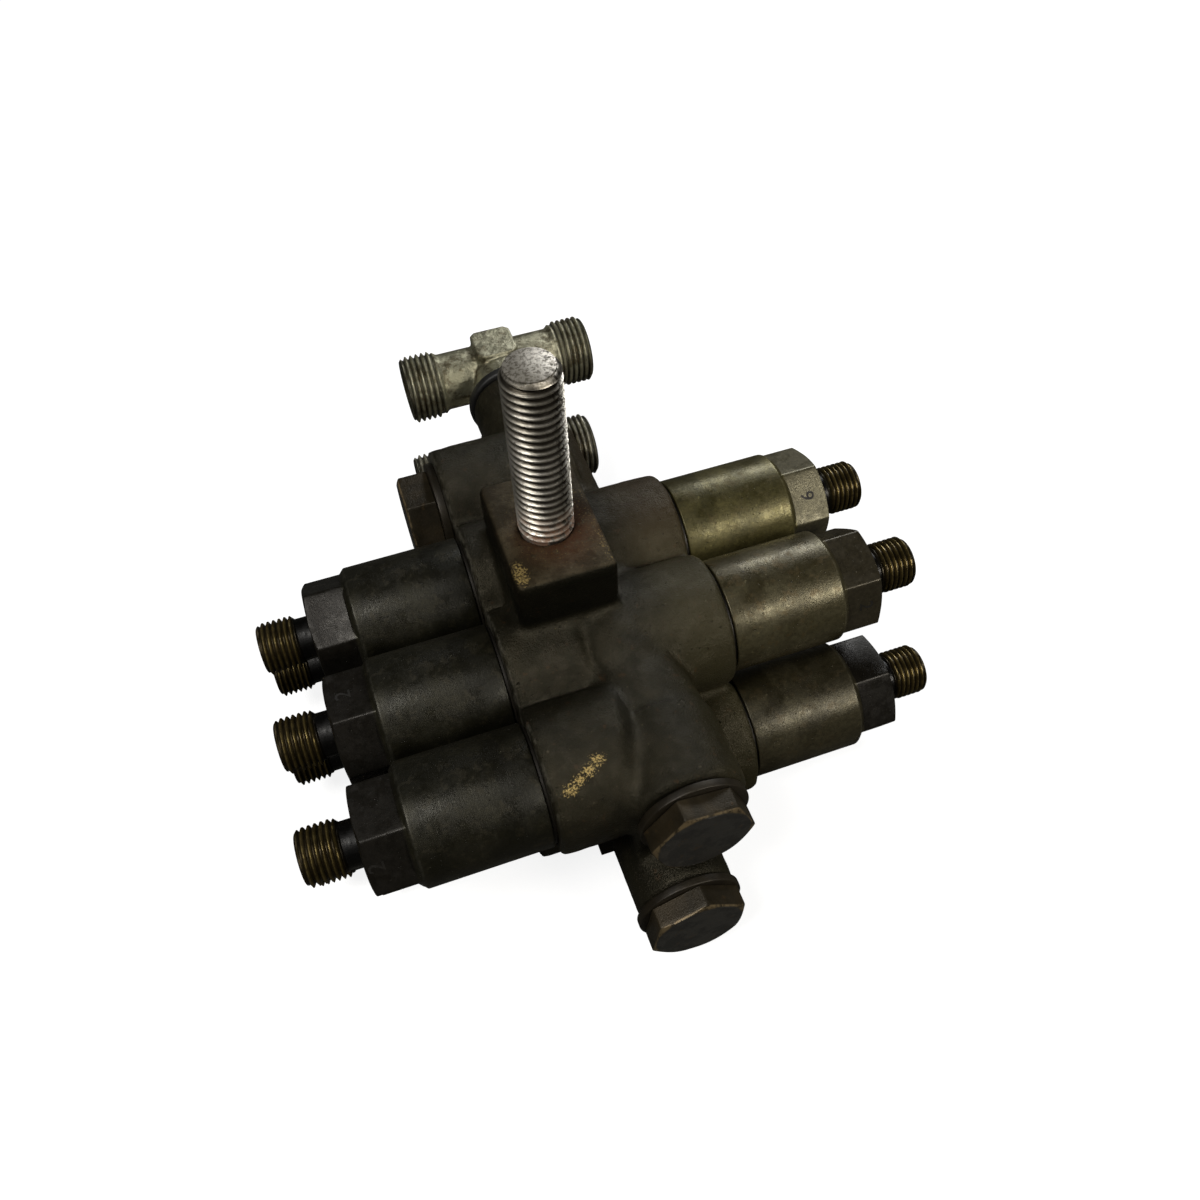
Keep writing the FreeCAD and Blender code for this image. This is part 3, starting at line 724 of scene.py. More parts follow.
UPPER_ZINC = tee_zinc("olive_zinc", (0.26, 0.25, 0.17), (0.44, 0.42, 0.30))
LOWER_ZINC = tee_zinc("pale_zinc", (0.42, 0.40, 0.31), (0.60, 0.57, 0.46))
END_PLUG_STEEL = plug_steel("end_plug_steel", PLUG_SPIGOT_LENGTH + END_WASHER_THICKNESS + END_PLUG_HEX_LENGTH)
SIDE_PLUG_STEEL = plug_steel("side_plug_steel",
                             PLUG_SPIGOT_LENGTH + SIDE_WASHER_THICKNESS + SIDE_PLUG_HEX_LENGTH)
SEAL_RUBBER = ring_metal("seal_rubber", (0.004, 0.004, 0.004), (0.009, 0.009, 0.008), 0.0, 0.55)
RING_METAL = ring_metal("sealing_ring_metal", (0.012, 0.010, 0.008), (0.026, 0.022, 0.016), 0.5, 0.5)
# The figures' near-black colour stands for dirt and painted shade in the stamped strokes.
STAMP_DIRT_AND_SHADE = ring_metal("stamp_dirt_and_shade", (0.006, 0.005, 0.004), (0.012, 0.010, 0.007), 0.2, 0.6)
WASHER_METAL = ring_metal("washer_metal", (0.014, 0.011, 0.007), (0.028, 0.022, 0.013), 0.5, 0.5)
PISTON_STEEL = ring_metal("lapped_piston_steel", (0.40, 0.40, 0.41), (0.55, 0.55, 0.56), 1.0, 0.22)


# Places of the pieces

def middle(name):
    """The middle of a piece's box, in metres."""
    low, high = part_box(name)
    return (low + high) / 2


def inner_end(name, side):
    """The middle of the end of a piece's box that is nearest to the casting's middle."""
    low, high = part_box(name)
    centre = (low + high) / 2
    return Vector((low.x if side > 0 else high.x, centre.y, centre.z))


def facing(side):
    """The turn that points a piece's own X axis to the right (1) or to the left (-1)."""
    return 0.0 if side > 0 else 180.0


def placed(where, turn_z=0.0, turn_y=0.0):
    """A place and a direction, as a matrix."""
    turn = Matrix.Rotation(math.radians(turn_z), 4, "Z") @ Matrix.Rotation(math.radians(turn_y), 4, "Y")
    return Matrix.Translation(where) @ turn


# Metering cartridges

def make_cartridge(name, side, turn, material):
    """One turned cartridge: spigot, barrel, hexagon, undercut neck, threaded outlet and its bores."""
    columns = hex_columns()
    hexed = hex_radius(columns, CARTRIDGE_HEX)
    corner = CARTRIDGE_HEX / math.sqrt(3)
    face = CARTRIDGE_HEX / 2 - HEX_FACE_DROP
    end_radius = BARREL_RADIUS - BARREL_CHAMFER

    outer = np.maximum(hexed, end_radius)
    meet = BARREL_END - (outer - end_radius)
    foot = BARREL_END - np.clip(hexed - end_radius, 0, None)
    crown = HEX_END - HEX_CROWN * (hexed - face) / (corner - face)

    body = rounded([
        (0.0, PISTON_BORE_RADIUS, 0), (0.0, SEAT_RADIUS - 0.8, 0.1), (0.8, SEAT_RADIUS, 0.1),
        (BARREL_START - 0.5, SEAT_RADIUS, 0),
        (BARREL_START - 0.5, SEAT_RADIUS - 0.4, 0), (BARREL_START, SEAT_RADIUS - 0.4, 0),
        (BARREL_START, BARREL_RADIUS, 0.3),
        (BARREL_START + 6, BARREL_RADIUS, 0), (BARREL_START + 14, BARREL_RADIUS, 0),
        (BARREL_END - BARREL_CHAMFER, BARREL_RADIUS, 0.22), (BARREL_END - 0.95, end_radius + 0.95, 0),
    ])
    rows = body + [
        (meet, outer),
        (foot, hexed),
        (foot + 0.12, hexed - 0.04),
        (crown - 1.2, hexed - 0.04),
        (crown - 0.22, hexed - 0.04),
        (crown - 0.05, hexed - 0.08),
        (crown + 0.08, hexed - 0.26),
        (np.minimum(crown + 0.3, HEX_END - 0.02), np.maximum(hexed - 0.9, face - 0.04)),
        (HEX_END - 0.03, face - 0.1),
        (HEX_END, face - 0.35),
        (HEX_END, 8.5),
        (HEX_END, NECK_RADIUS + 0.5),
        (HEX_END + 0.15, NECK_RADIUS + 0.14),
        (HEX_END + 0.5, NECK_RADIUS),
        (NECK_END - 0.3, NECK_RADIUS),
    ]
    start = NECK_END
    end = OUTLET_END - 0.1
    foot_radius = OUTLET_ROOT - ROOT_PLAY

    def envelope(place):
        rise = np.minimum(place - start, end - place)
        return foot_radius + np.clip(rise, 0, None) * 1.1

    keys = thread_keys(OUTLET_CREST, OUTLET_ROOT, 0.12, 0.16, 0.07)
    cone_end = PISTON_BORE_END + PISTON_BORE_RADIUS - PASSAGE_RADIUS
    inside = [
        (end, foot_radius), (OUTLET_END, 5.0), (OUTLET_END, MOUTH_RADIUS + 0.2),
        (OUTLET_END - 0.08, MOUTH_RADIUS), (OUTLET_END - MOUTH_DEPTH, SOCKET_RADIUS),
        (OUTLET_END - SOCKET_DEPTH, SOCKET_RADIUS), (OUTLET_END - SOCKET_DEPTH, PASSAGE_RADIUS),
        (cone_end, PASSAGE_RADIUS), (PISTON_BORE_END, PISTON_BORE_RADIUS), (0.0, PISTON_BORE_RADIUS),
    ]
    blocks = [
        plain_block(rows + [(start, foot_radius)], columns),
        thread_block(start, end, OUTLET_PITCH, keys, envelope, columns),
        plain_block(inside, columns),
    ]
    mesh = ring_mesh(name, blocks, columns, -side * turn)
    clean_mesh(mesh)
    node_name = f"{name}_cartridge"
    place = placed(inner_end(node_name, side), facing(side))
    add_piece(f"{name}_turned_cartridge", mesh, place, material, "cartridge_steel", node_name)


def make_figure(name, side, figure, facet, along):
    """A plain figure as a thin dark sheet on a facet of a cartridge's hexagon, its top towards the outlet;
    its dark colour stands for dirt and painted shade in the stamped strokes.
    """
    curve = bpy.data.curves.new(f"{name}_figure", "FONT")
    curve.body = figure
    curve.size = FIGURE_HEIGHT * MM
    curve.extrude = FIGURE_STROKE * MM
    curve.offset = FIGURE_STROKE * MM
    curve.align_x = "CENTER"
    curve.align_y = "CENTER"
    holder = bpy.data.objects.new("holder", curve)
    bpy.context.scene.collection.objects.link(holder)
    view = bpy.context.evaluated_depsgraph_get()
    mesh = bpy.data.meshes.new_from_object(holder.evaluated_get(view))
    bpy.data.objects.remove(holder)
    angle = math.radians(facet)
    normal = Vector((0, math.sin(angle), math.cos(angle)))
    up = Vector((1, 0, 0))
    turn = Matrix((up.cross(normal), up, normal)).transposed().to_4x4()
    stand = Matrix.Translation((along * MM, 0, 0)) @ Matrix.Translation(normal * FIGURE_LEVEL * MM) @ turn
    place = placed(inner_end(f"{name}_cartridge", side), facing(side))
    add_piece(f"{name}_stamped_figure", mesh, place @ stand, STAMP_DIRT_AND_SHADE, "cartridge_steel")


# The stamped figures' height, stroke and level, and each one's facet in degrees and place along the axis
FIGURE_HEIGHT = 4.6
FIGURE_STROKE = 0.03
FIGURE_LEVEL = 10.97
FIGURES = {
    "upper_left_rear": ("2", 324.0, 41.0),
    "upper_left_middle": ("2", 357.0, 41.2),
    "upper_left_front": ("2", 60.0, 42.8),
    "upper_right_rear": ("9", 321.0, 40.4),
    "upper_right_middle": ("2", 284.0, 41.0),
    "lower_right_front": ("2", 5.0, 40.9),
}

# Each cartridge's side of the casting, 1 for the right, and its steel
CARTRIDGES = {
    "upper_left_front": (-1, LEFT_STEEL),
    "upper_left_middle": (-1, LEFT_STEEL),
    "upper_left_rear": (-1, LEFT_STEEL),
    "lower_left_front": (-1, LEFT_STEEL),
    "lower_left_middle": (-1, LEFT_STEEL),
    "lower_left_rear": (-1, LEFT_STEEL),
    "upper_right_middle": (1, MIDDLE_STEEL),
    "upper_right_rear": (1, REAR_STEEL),
    "lower_right_front": (1, FRONT_STEEL),
}


# Rings, washers and plugs

def make_ring(name, inner, outer, thickness, place, material, slot, edge=0.15):
    """A flat ring with rounded outer edges."""
    columns = even_columns(96)
    profile = rounded([
        (0.0, inner, 0), (0.0, outer, edge), (thickness, outer, edge), (thickness, inner, edge / 2),
        (0.0, inner, 0),
    ])
    mesh = ring_mesh(name, [plain_block(profile, columns)], columns)
    clean_mesh(mesh)
    add_piece(f"{name}_ring", mesh, place, material, slot, name)


def make_plug(name, spigot, washer, hex_length, turn, place, material):
    """A blank plug: a plain spigot under a crowned hexagon."""
    columns = hex_columns()
    hexed = hex_radius(columns, PLUG_HEX)
    corner = PLUG_HEX / math.sqrt(3)
    face = PLUG_HEX / 2 - HEX_FACE_DROP
    start = PLUG_SPIGOT_LENGTH + washer
    end = start + hex_length
    crown = end - HEX_CROWN * (hexed - face) / (corner - face)
    rows = rounded([(0.0, 0.0, 0), (0.0, spigot - 0.8, 0.1), (0.8, spigot, 0.1), (start, spigot, 0)])
    rows += [
        (start, hexed - 0.3),
        (start + 0.2, hexed - 0.04),
        (start + 1.2, hexed - 0.04),
        (crown - 1.2, hexed - 0.04),
        (crown - 0.25, hexed - 0.04),
        (crown - 0.06, hexed - 0.09),
        (crown + 0.08, hexed - 0.28),
        (np.minimum(crown + 0.3, end - 0.03), np.maximum(hexed - 0.9, face - 0.05)),
        (end - 0.05, face - 0.12),
        (end, face - 0.5),
        (end, 6.5),
        (end, 3.0),
        (end, 0.0),
    ]
    mesh = ring_mesh(name, [plain_block(rows, columns)], columns, turn)
    clean_mesh(mesh)
    add_piece(f"{name}_blank", mesh, place, material, "plug_steel", name)


def fit_rings_and_plugs():
    """A ring under every cartridge, the three plugs with their washers, and the tees' seals."""
    for name, (side, _) in CARTRIDGES.items():
        ring = f"{name}_sealing_ring"
        make_ring(ring, SEAT_RADIUS + FIT_GAP, RING_RADIUS, RING_THICKNESS,
                  placed(inner_end(ring, side), facing(side)), RING_METAL, "sealing_ring")
    start = inner_end("side_plug_washer", -1)
    make_ring("side_plug_washer", SEAT_RADIUS + FIT_GAP, 12.6, SIDE_WASHER_THICKNESS,
              placed(start, facing(-1)), WASHER_METAL, "washer_metal", 0.3)
    make_plug("side_plug", SEAT_RADIUS, SIDE_WASHER_THICKNESS, SIDE_PLUG_HEX_LENGTH, HEX_TURNS["side_plug"],
              placed(start + Vector((PLUG_SPIGOT_LENGTH * MM, 0, 0)), facing(-1)), SIDE_PLUG_STEEL)
    for name in ("upper_end_plug", "lower_end_plug"):
        washer = f"{name}_washer"
        centre = middle(washer)
        start = Vector((centre.x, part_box(washer)[1].y, centre.z))
        make_ring(washer, END_PLUG_RADIUS + FIT_GAP, 11.6, END_WASHER_THICKNESS,
                  placed(start, -90), WASHER_METAL, "washer_metal", 0.35)
        make_plug(name, END_PLUG_RADIUS, END_WASHER_THICKNESS, END_PLUG_HEX_LENGTH, HEX_TURNS[name],
                  placed(start + Vector((0, PLUG_SPIGOT_LENGTH * MM, 0)), -90), END_PLUG_STEEL)
    for name in ("upper_inlet_tee_seal", "lower_inlet_tee_seal"):
        centre = middle(name)
        start = Vector((centre.x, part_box(name)[0].y, centre.z))
        make_ring(name, END_PLUG_RADIUS + FIT_GAP, 11.4, SEAL_THICKNESS, placed(start, 90), SEAL_RUBBER,
                  "seal_rubber", 0.8)


# Mounting stud

def make_stud():
    """The stud: a plain root in the block, a rolled thread and a low domed end."""
    columns = even_columns(96)
    start = STUD_DEPTH + 0.02
    end = 55.65
    foot_radius = STUD_ROOT - ROOT_PLAY

    def envelope(place):
        top = foot_radius + np.clip(end - place, 0, None) * 0.75
        return np.minimum(top, foot_radius + np.clip(place - start, 0, None) * 20)

    keys = thread_keys(STUD_RADIUS, STUD_ROOT, 0.14, 0.14, 0.16)
    below = rounded([(0.0, 0.0, 0), (0.0, STUD_ROOT_RADIUS - 0.8, 0.1), (0.9, STUD_ROOT_RADIUS, 0.1),
                     (STUD_DEPTH - 0.02, STUD_ROOT_RADIUS, 0), (start, foot_radius, 0)])
    dome = [(end + 0.25 + 0.47 * (1 - share**2), foot_radius * share)
            for share in (1.0, 0.93, 0.8, 0.6, 0.35, 0.0)]
    dome.insert(0, (end, foot_radius))
    blocks = [
        plain_block(below, columns),
        thread_block(start, end, STUD_PITCH, keys, envelope, columns),
        plain_block(dome, columns),
    ]
    mesh = ring_mesh("mounting_stud", blocks, columns)
    clean_mesh(mesh, 50)
    centre = middle("mounting_stud")
    foot = Vector((centre.x, centre.y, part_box("mounting_stud")[0].z))
    add_piece("rolled_mounting_stud", mesh, placed(foot, 0, -90), STUD_STEEL, "stud_steel", "mounting_stud")


# Inlet tees

def remesh(mesh, voxel, rounds, strength):
    """Rebuild a closed mesh on an even grid and soften its corners."""
    holder = bpy.data.objects.new("holder", mesh)
    bpy.context.scene.collection.objects.link(holder)
    even = holder.modifiers.new("even", "REMESH")
    even.mode = "VOXEL"
    even.voxel_size = voxel * MM
    if rounds:
        soft = holder.modifiers.new("soft", "SMOOTH")
        soft.factor = strength
        soft.iterations = rounds
    view = bpy.context.evaluated_depsgraph_get()
    made = bpy.data.meshes.new_from_object(holder.evaluated_get(view))
    bpy.data.objects.remove(holder)
    return made


def mesh_points(mesh):
    """A mesh's points as rows of three numbers."""
    points = np.empty(len(mesh.vertices) * 3)
    mesh.vertices.foreach_get("co", points)
    return points.reshape(-1, 3)


def set_points(mesh, points):
    """Move a mesh's points to the given rows."""
    mesh.vertices.foreach_set("co", points.reshape(-1))
    mesh.update()


def tee_centre(name):
    """Where a tee's two axes cross, in metres."""
    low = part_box(f"{name}_seal")[0]
    return Vector((middle(name).x, low.y + TEE_REACH * MM, middle(f"{name}_seal").z))


def make_forging(name, centre, material):
    """The tee's own form with softened corners, its ends slimmed to go inside the threads."""
    source = nodes[name].data.copy()
    points = mesh_points(source) - np.array(centre)
    out = np.hypot(points[:, 1], points[:, 2])
    ends = (np.abs(points[:, 0]) > 17.0 * MM) & (out > 7.7 * MM)
    points[ends, 1:] *= (7.95 * MM / out[ends])[:, None]
    points[:, 0] = np.clip(points[:, 0], -TEE_THREAD_END * MM, TEE_THREAD_END * MM)
    set_points(source, points)
    core = remesh(source, 0.36, 3, 0.5)
    core.shade_smooth()
    add_piece(f"{name}_forging", core, Matrix.Translation(centre), material, "tee_zinc", name)


def make_tee(name, material):
    """One inlet tee: its forging and the male thread on each end."""
    centre = tee_centre(name)
    make_forging(name, centre, material)
    columns = even_columns(96)
    start = TEE_THREAD_START
    end = TEE_THREAD_END
    foot_radius = TEE_ROOT - ROOT_PLAY
    keys = thread_keys(TEE_CREST, TEE_ROOT, 0.16, 0.16, 0.08)

    def envelope(where):
        return foot_radius + np.clip(np.minimum(where - start, end - where), 0, None) * 1.1

    for side_name, turn in (("right", 0.0), ("left", 180.0)):
        close = rounded([
            (end, foot_radius, 0), (TEE_HALF_LENGTH, 7.9, 0), (TEE_HALF_LENGTH, 6.3, 0.08), (25.0, 6.6, 0),
            (17.8, 7.6, 0), (start, 7.6, 0), (start, foot_radius, 0),
        ])
        blocks = [thread_block(start, end, TEE_PITCH, keys, envelope, columns), plain_block(close, columns)]
        mesh = ring_mesh(f"{name}_{side_name}_thread", blocks, columns)
        clean_mesh(mesh)
        add_piece(f"{name}_{side_name}_thread", mesh, placed(centre, turn), material, "tee_zinc")


# Casting

def smooth_step(value, low, high):
    """0 below low, 1 above high and smooth between."""
    t = np.clip((value - low) / (high - low), 0, 1)
    return t * t * (3 - 2 * t)


def wall_faces(rows, count):
    """Faces between closed rows of points that follow each other."""
    return [(row * count + column, row * count + (column + 1) % count,
             (row + 1) * count + (column + 1) % count, (row + 1) * count + column)
            for row in range(rows - 1) for column in range(count)]


def wall_mesh(name, points, faces):
    """A clean mesh from points in metres."""
    mesh = bpy.data.meshes.new(name)
    mesh.from_pydata(points, [], faces)
    clean_mesh(mesh)
    return mesh


def block_collar():
    """The mounting block's crisp outer skin, as a ring around the stud, to be joined with the casting."""
    low = np.array((BLOCK_LEFT, BLOCK_FRONT))
    high = np.array((BLOCK_RIGHT, BLOCK_REAR))
    middle_x, middle_y = (low + high) / 2
    half_x, half_y = (high - low) / 2
    angles = even_columns(144)

    def outline(inset, sharpness=34):
        across = np.abs(np.cos(angles)) / (half_x - inset)
        along = np.abs(np.sin(angles)) / (half_y - inset)
        return (across**sharpness + along**sharpness) ** (-1 / sharpness)

    inner = np.full(len(angles), 8.0)
    rows = [(52.0, inner), (52.0, outline(0.0)), (70.5, outline(0.0)), (71.1, outline(0.25)),
            (BLOCK_TOP, outline(0.9)), (BLOCK_TOP, inner), (52.0, inner)]
    points = []
    for height, reach in rows:
        points.extend(zip((middle_x + reach * np.cos(angles)) * MM, (middle_y + reach * np.sin(angles)) * MM,
                          np.full(len(angles), height * MM)))
    return wall_mesh("block_collar", points, wall_faces(len(rows), len(angles)))


def joined(*meshes):
    """One mesh that holds copies of all the given ones."""
    work = bmesh.new()
    for mesh in meshes:
        work.from_mesh(mesh)
    made = bpy.data.meshes.new("joined")
    work.to_mesh(made)
    work.free()
    return made


# The even grid that the casting is rebuilt on
VOXEL = 0.74

# The ridge on the casting's middle, from the block to the collar around the upper front plug
RIDGE_RADIUS = 12.2
RIDGE_START = -0.9
COLLAR_START = -24.4
COLLAR_RADIUS = 12.6
GALLERY_LEVEL = 42.6


def ridge_middle(y):
    """The ridge's axis leans to the left towards the block."""
    return np.interp(y, (COLLAR_START, -12.5, -4.5), (0.0, -1.5, -2.6))


def ridge_level(y):
    """The ridge's axis rises towards the block."""
    return np.interp(y, (COLLAR_START, -13.0, -9.3, -4.5, RIDGE_START), (42.1, 42.8, 44.2, 45.4, 45.6))


def left_boss_end(y):
    """Where the left bosses stop, before the ridge and the collar."""
    return np.interp(y, (-36.2, -33.2, -28.8, -20.0, -14.3, -11.8, -8.8, -5.5),
                     (-11.5, -10.8, -9.0, -7.6, -7.2, -9.2, -10.0, -9.6))


def ridge_cap():
    """The ridge's upper part as a closed mesh, to be joined with the casting."""
    points = []
    places = np.linspace(COLLAR_START, RIDGE_START, 25)
    angles = np.radians(np.linspace(-68, 68, 49))
    for y in places:
        points.extend(zip((ridge_middle(y) + RIDGE_RADIUS * np.sin(angles)) * MM,
                          np.full(len(angles), y * MM),
                          (ridge_level(y) + RIDGE_RADIUS * np.cos(angles)) * MM))
    count = len(angles)
    faces = wall_faces(len(places), count)
    faces.append(tuple(range(count)))
    faces.append(tuple(reversed(range((len(places) - 1) * count, len(places) * count))))
    return wall_mesh("ridge_cap", points, faces)


def shape_middle(points):
    """Lower the left bosses' inner ends to the ridge and to the collar around the upper front plug."""
    x, y, z = points.T
    inward = smooth_step(x - left_boss_end(y), -0.6, 0.6)
    ahead = smooth_step(-y, -RIDGE_START, 0.8 - RIDGE_START)
    shares = np.where((z > GALLERY_LEVEL - 11) & (z < 60) & (y > -42.6), inward * ahead, 0)
    collar = y < COLLAR_START
    centre = np.where(collar, 0.0, ridge_middle(y))
    level = np.where(collar, GALLERY_LEVEL, ridge_level(y))
    radius = np.where(collar, COLLAR_RADIUS, RIDGE_RADIUS)
    across = x - centre
    up = np.clip(z - level, 0, None)
    out = np.maximum(np.hypot(across, up), 1e-6)
    over = np.clip(out - radius, 0, None)
    boss_up = z - GALLERY_LEVEL
    boss_out = np.hypot(y, boss_up)
    over_boss = np.clip(boss_out - BOSS_RADIUS, 0, None)
    right = (x > 0) & (y > -BOSS_RADIUS - 3)
    to_boss = right & (over_boss < over)
    ridge_move = np.where(to_boss, 0, shares * over)
    boss_move = np.where(to_boss, shares * over_boss, 0)
    points[:, 0] -= ridge_move * across / out
    points[:, 2] -= ridge_move * up / out + boss_move * boss_up / boss_out
    points[:, 1] -= boss_move * y / boss_out
    return points


def round_rims(points):
    """Round the outer edges of the upper cartridge bosses, more on the right side."""
    for name, (side, _) in CARTRIDGES.items():
        if not name.startswith("upper"):
            continue
        centre = inner_end(f"{name}_sealing_ring", side) / MM
        face = centre.x
        rounding = 1.5 if side > 0 else 0.8
        inward = rounding - side * (face - points[:, 0])
        y = points[:, 1] - centre.y
        z = points[:, 2] - centre.z
        out = np.maximum(np.hypot(y, z), 1e-6)
        outward = out - (BOSS_RADIUS - rounding)
        corner = np.hypot(inward, outward)
        hit = (inward > 0) & (outward > 0) & (outward < rounding + 0.6) & (corner > rounding)
        back = np.where(hit, corner - rounding, 0)
        points[:, 0] -= side * back * inward / np.maximum(corner, 1e-6)
        radial = back * outward / np.maximum(corner, 1e-6)
        points[:, 1] -= radial * y / out
        points[:, 2] -= radial * z / out
    return points


def cut_crease(points):
    """The narrow groove between the left middle boss and the ridge."""
    x, y, z = points.T
    beside = 1 - smooth_step(np.abs(x - left_boss_end(y) - 0.7), 0.2, 1.3)
    along = smooth_step(-y, 1.5, 4.0) * (1 - smooth_step(-y, 12.0, 15.0))
    points[:, 2] -= 1.3 * beside * along * (z > GALLERY_LEVEL + 3)
    return points


def cut_faces(points):
    """1 where a face is machined or the block is crisp, 0 where the casting is as cast."""
    keep = np.zeros(len(points))
    for axis, level, across, reach in machined_planes():
        near = np.abs(points[:, axis] - level) < 0.5
        others = [i for i in range(3) if i != axis]
        out = np.hypot(*(points[:, o] - c for o, c in zip(others, across)))
        share = np.clip((reach - out) / 0.8, 0, 1)
        keep = np.maximum(keep, np.where(near & (out < reach), share, 0))
    keep = np.maximum(keep, np.where(points[:, 2] < 0.3, 1.0, 0.0))
    return np.maximum(keep, smooth_step(points[:, 2], 60.0, 62.0))


def softened(mesh, points, keep):
    """Move each point towards the middle of its neighbours, five times, less where keep is high."""
    edges = np.empty(len(mesh.edges) * 2, int)
    mesh.edges.foreach_get("vertices", edges)
    first, second = edges.reshape(-1, 2).T
    joins = np.bincount(first, minlength=len(points)) + np.bincount(second, minlength=len(points))
    for _ in range(5):
        total = np.empty_like(points)
        for axis in range(3):
            total[:, axis] = (np.bincount(first, points[second, axis], len(points))
                              + np.bincount(second, points[first, axis], len(points)))
        points = points + 0.5 * (1 - keep)[:, None] * (total / joins[:, None] - points)
    return points


def cast_lumps(mesh, points, free):
    """The uneven skin of a casting, as a small move along each point's normal."""
    normals = np.empty(len(points) * 3)
    mesh.vertices.foreach_get("normal", normals)
    lumps = np.array([noise.noise(Vector(p * 0.16)) + 0.6 * noise.noise(Vector(p * 0.45)) for p in points])
    return points + normals.reshape(-1, 3) * ((0.12 * lumps - 0.05) * free)[:, None]


def make_casting():
    """The casting's construction mesh, rebuilt evenly so that its corners and joins look as cast."""
    source = joined(nodes["manifold_casting"].data, block_collar())
    mesh = remesh(source, VOXEL, 0, 0)
    set_points(mesh, shape_middle(mesh_points(mesh) / MM) * MM)
    mesh = remesh(joined(mesh, ridge_cap()), VOXEL, 0, 0)
    home = round_rims(cut_crease(mesh_points(mesh) / MM))
    keep = cut_faces(home)
    bored = near_bores(home)
    points = np.where(bored[:, None], home, softened(mesh, home, keep))
    set_points(mesh, points * MM)
    points = cast_lumps(mesh, points, (1 - keep) * ~bored)
    low, high = (np.array(corner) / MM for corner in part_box("manifold_casting"))
    set_points(mesh, np.clip(points, low, high) * MM)
    mesh.shade_smooth()
    add_piece("manifold_casting_skin", mesh, Matrix.Identity(4), IRON, "cast_iron_body", "manifold_casting")


def machined_planes():
    """Faces cut flat on the casting: their axis, level, middle in the other two axes, and radius."""
    planes = []
    for name, (side, _) in CARTRIDGES.items():
        face = inner_end(f"{name}_sealing_ring", side) / MM
        planes.append((0, face.x, (face.y, face.z), 13.4 if side > 0 else 14.4))
    face = inner_end("side_plug_washer", -1) / MM
    planes.append((0, face.x, (face.y, face.z), 14.6))
    for name, rear in (("upper_end_plug_washer", False), ("lower_end_plug_washer", False),
                       ("upper_inlet_tee_seal", True), ("lower_inlet_tee_seal", True)):
        low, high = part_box(name)
        centre = middle(name) / MM
        planes.append((1, (low.y if rear else high.y) / MM, (centre.x, centre.z), 10.4))
    return planes


def near_bores(points):
    """True for the points on the walls of the bores, which stay as they were cut."""
    x, y, z = points.T
    near = np.zeros(len(points), bool)
    for name, (side, _) in CARTRIDGES.items():
        centre = middle(f"{name}_cartridge") / MM
        near |= (x * side > 1.0) & (np.hypot(y - centre.y, z - centre.z) < 8.6)
    centre = middle("side_plug_washer") / MM
    near |= (x < -1.0) & (np.hypot(y - centre.y, z - centre.z) < 8.6)
    for name in ("upper_end_plug_washer", "lower_end_plug_washer"):
        centre = middle(name) / MM
        near |= np.hypot(x - centre.x, z - centre.z) < 7.6
    centre = middle("mounting_stud") / MM
    near |= (np.hypot(x - centre.x, y - centre.y) < 6.3) & (z > 50)
    return near


# Everything together

for name, (side, material) in CARTRIDGES.items():
    make_cartridge(name, side, HEX_TURNS[name], material)
    nodes[f"{name}_piston"].data.materials.clear()
    nodes[f"{name}_piston"].data.materials.append(PISTON_STEEL)
for name, (figure, facet, along) in FIGURES.items():
    make_figure(name, CARTRIDGES[name][0], figure, facet, along)
fit_rings_and_plugs()
make_stud()
make_tee("upper_inlet_tee", UPPER_ZINC)
make_tee("lower_inlet_tee", LOWER_ZINC)
make_casting()


# Camera, floor and light

# The camera's place in metres and its turns about X, Y and Z in degrees, fitted to the photograph
CAMERA_PLACE = (-0.04361, -0.13158, 0.23645)
CAMERA_TURNS = (37.9540, 1.7593, -19.0880)
CAMERA_LENS = 32.05


def make_camera():
    """The camera that sees the object as the photograph does."""
    data = bpy.data.cameras.new("camera")
    data.lens = CAMERA_LENS
    data.sensor_width = 36.0
    data.sensor_fit = "HORIZONTAL"
    camera = bpy.data.objects.new("camera", data)
    bpy.context.scene.collection.objects.link(camera)
    camera.location = CAMERA_PLACE
    camera.rotation_euler = [math.radians(turn) for turn in CAMERA_TURNS]
    bpy.context.scene.camera = camera


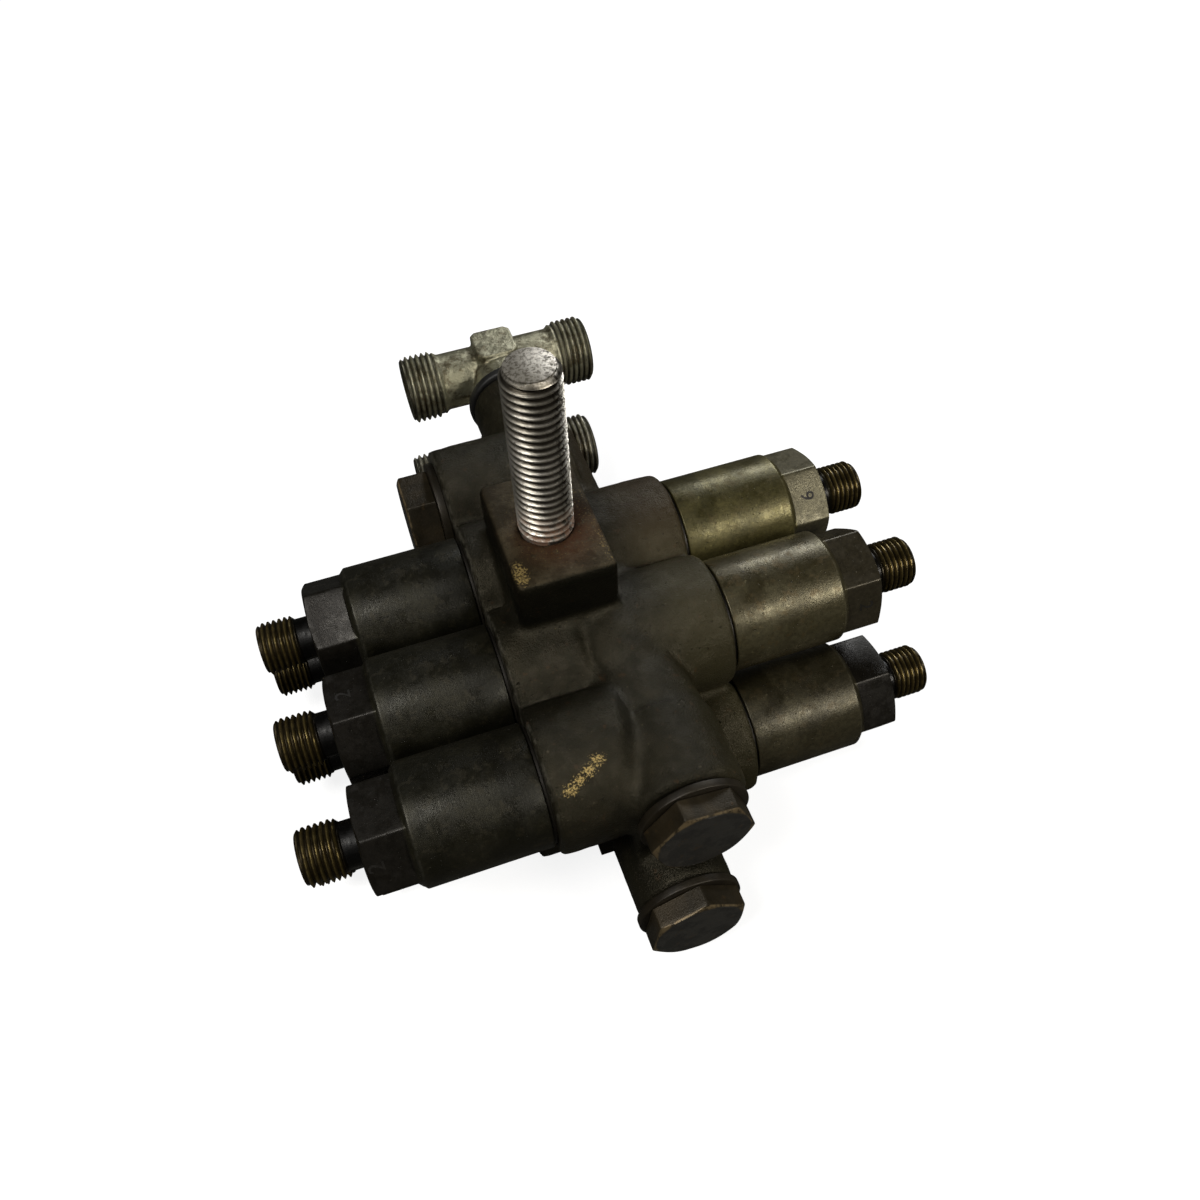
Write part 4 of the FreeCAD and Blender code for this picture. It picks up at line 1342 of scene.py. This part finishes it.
def make_floor():
    """A pale floor with the object's soft shadow: near white to the camera and dark to all other rays."""
    half = 4.0
    corners = [(-half, -half, 0), (half, -half, 0), (half, half, 0), (-half, half, 0)]
    mesh = bpy.data.meshes.new("floor")
    mesh.from_pydata(corners, [], [(0, 1, 2, 3)])
    floor = bpy.data.objects.new("floor", mesh)
    floor.location.z = -0.0002
    bpy.context.scene.collection.objects.link(floor)
    material = bpy.data.materials.new("floor_white")
    material.use_nodes = True
    tree = material.node_tree
    tree.nodes.remove(tree.nodes["Principled BSDF"])
    seen = node(tree, "LightPath").outputs["Is Camera Ray"]
    glow = node(tree, "Emission")
    glow.inputs["Color"].default_value = (1, 1, 1, 1)
    glow.inputs["Strength"].default_value = 1.43
    matt = node(tree, "BsdfDiffuse")
    feed(tree, matt.inputs["Color"], blend(tree, seen, (0.06, 0.06, 0.055), (0.8, 0.8, 0.8)))
    mixed = node(tree, "MixShader")
    feed(tree, mixed.inputs[0], calc(tree, "MULTIPLY", seen, 0.60))
    tree.links.new(matt.outputs[0], mixed.inputs[1])
    tree.links.new(glow.outputs[0], mixed.inputs[2])
    tree.links.new(mixed.outputs[0], tree.nodes["Material Output"].inputs["Surface"])
    mesh.materials.append(material)


def make_world():
    """White to the camera, and a faint even light on the object."""
    world = bpy.data.worlds.new("studio")
    bpy.context.scene.world = world
    world.use_nodes = True
    tree = world.node_tree
    background = tree.nodes["Background"]
    seen = node(tree, "LightPath").outputs["Is Camera Ray"]
    feed(tree, background.inputs["Color"], blend(tree, seen, (0.50, 0.50, 0.46), (1.0, 1.0, 1.0)))
    feed(tree, background.inputs["Strength"], calc(tree, "MULTIPLY_ADD", seen, 0.95, 0.05))


def softbox(name, place, aim, width, height, power, tint):
    """A soft rectangular lamp, turned to the place that it lights."""
    data = bpy.data.lights.new(name, "AREA")
    data.shape = "RECTANGLE"
    data.size = width
    data.size_y = height
    data.energy = power
    data.color = tint
    lamp = bpy.data.objects.new(name, data)
    bpy.context.scene.collection.objects.link(lamp)
    direction = Vector(aim) - Vector(place)
    lamp.matrix_world = Matrix.Translation(place) @ direction.to_track_quat("-Z", "Y").to_matrix().to_4x4()


make_camera()
make_floor()
make_world()
softbox("front_window", (0.42, -0.56, 0.50), (0.04, 0.0, 0.04), 0.36, 0.20, 3.6, (1.0, 0.96, 0.88))
softbox("left_window", (-0.42, -0.22, 0.82), (0.0, 0.0, 0.05), 0.26, 0.26, 5.0, (1.0, 0.98, 0.94))
softbox("back_window", (0.45, 0.62, 0.50), (0.0, 0.0, 0.05), 0.40, 0.20, 3.0, (0.96, 0.98, 1.0))

bpy.context.scene.view_settings.view_transform = "Standard"
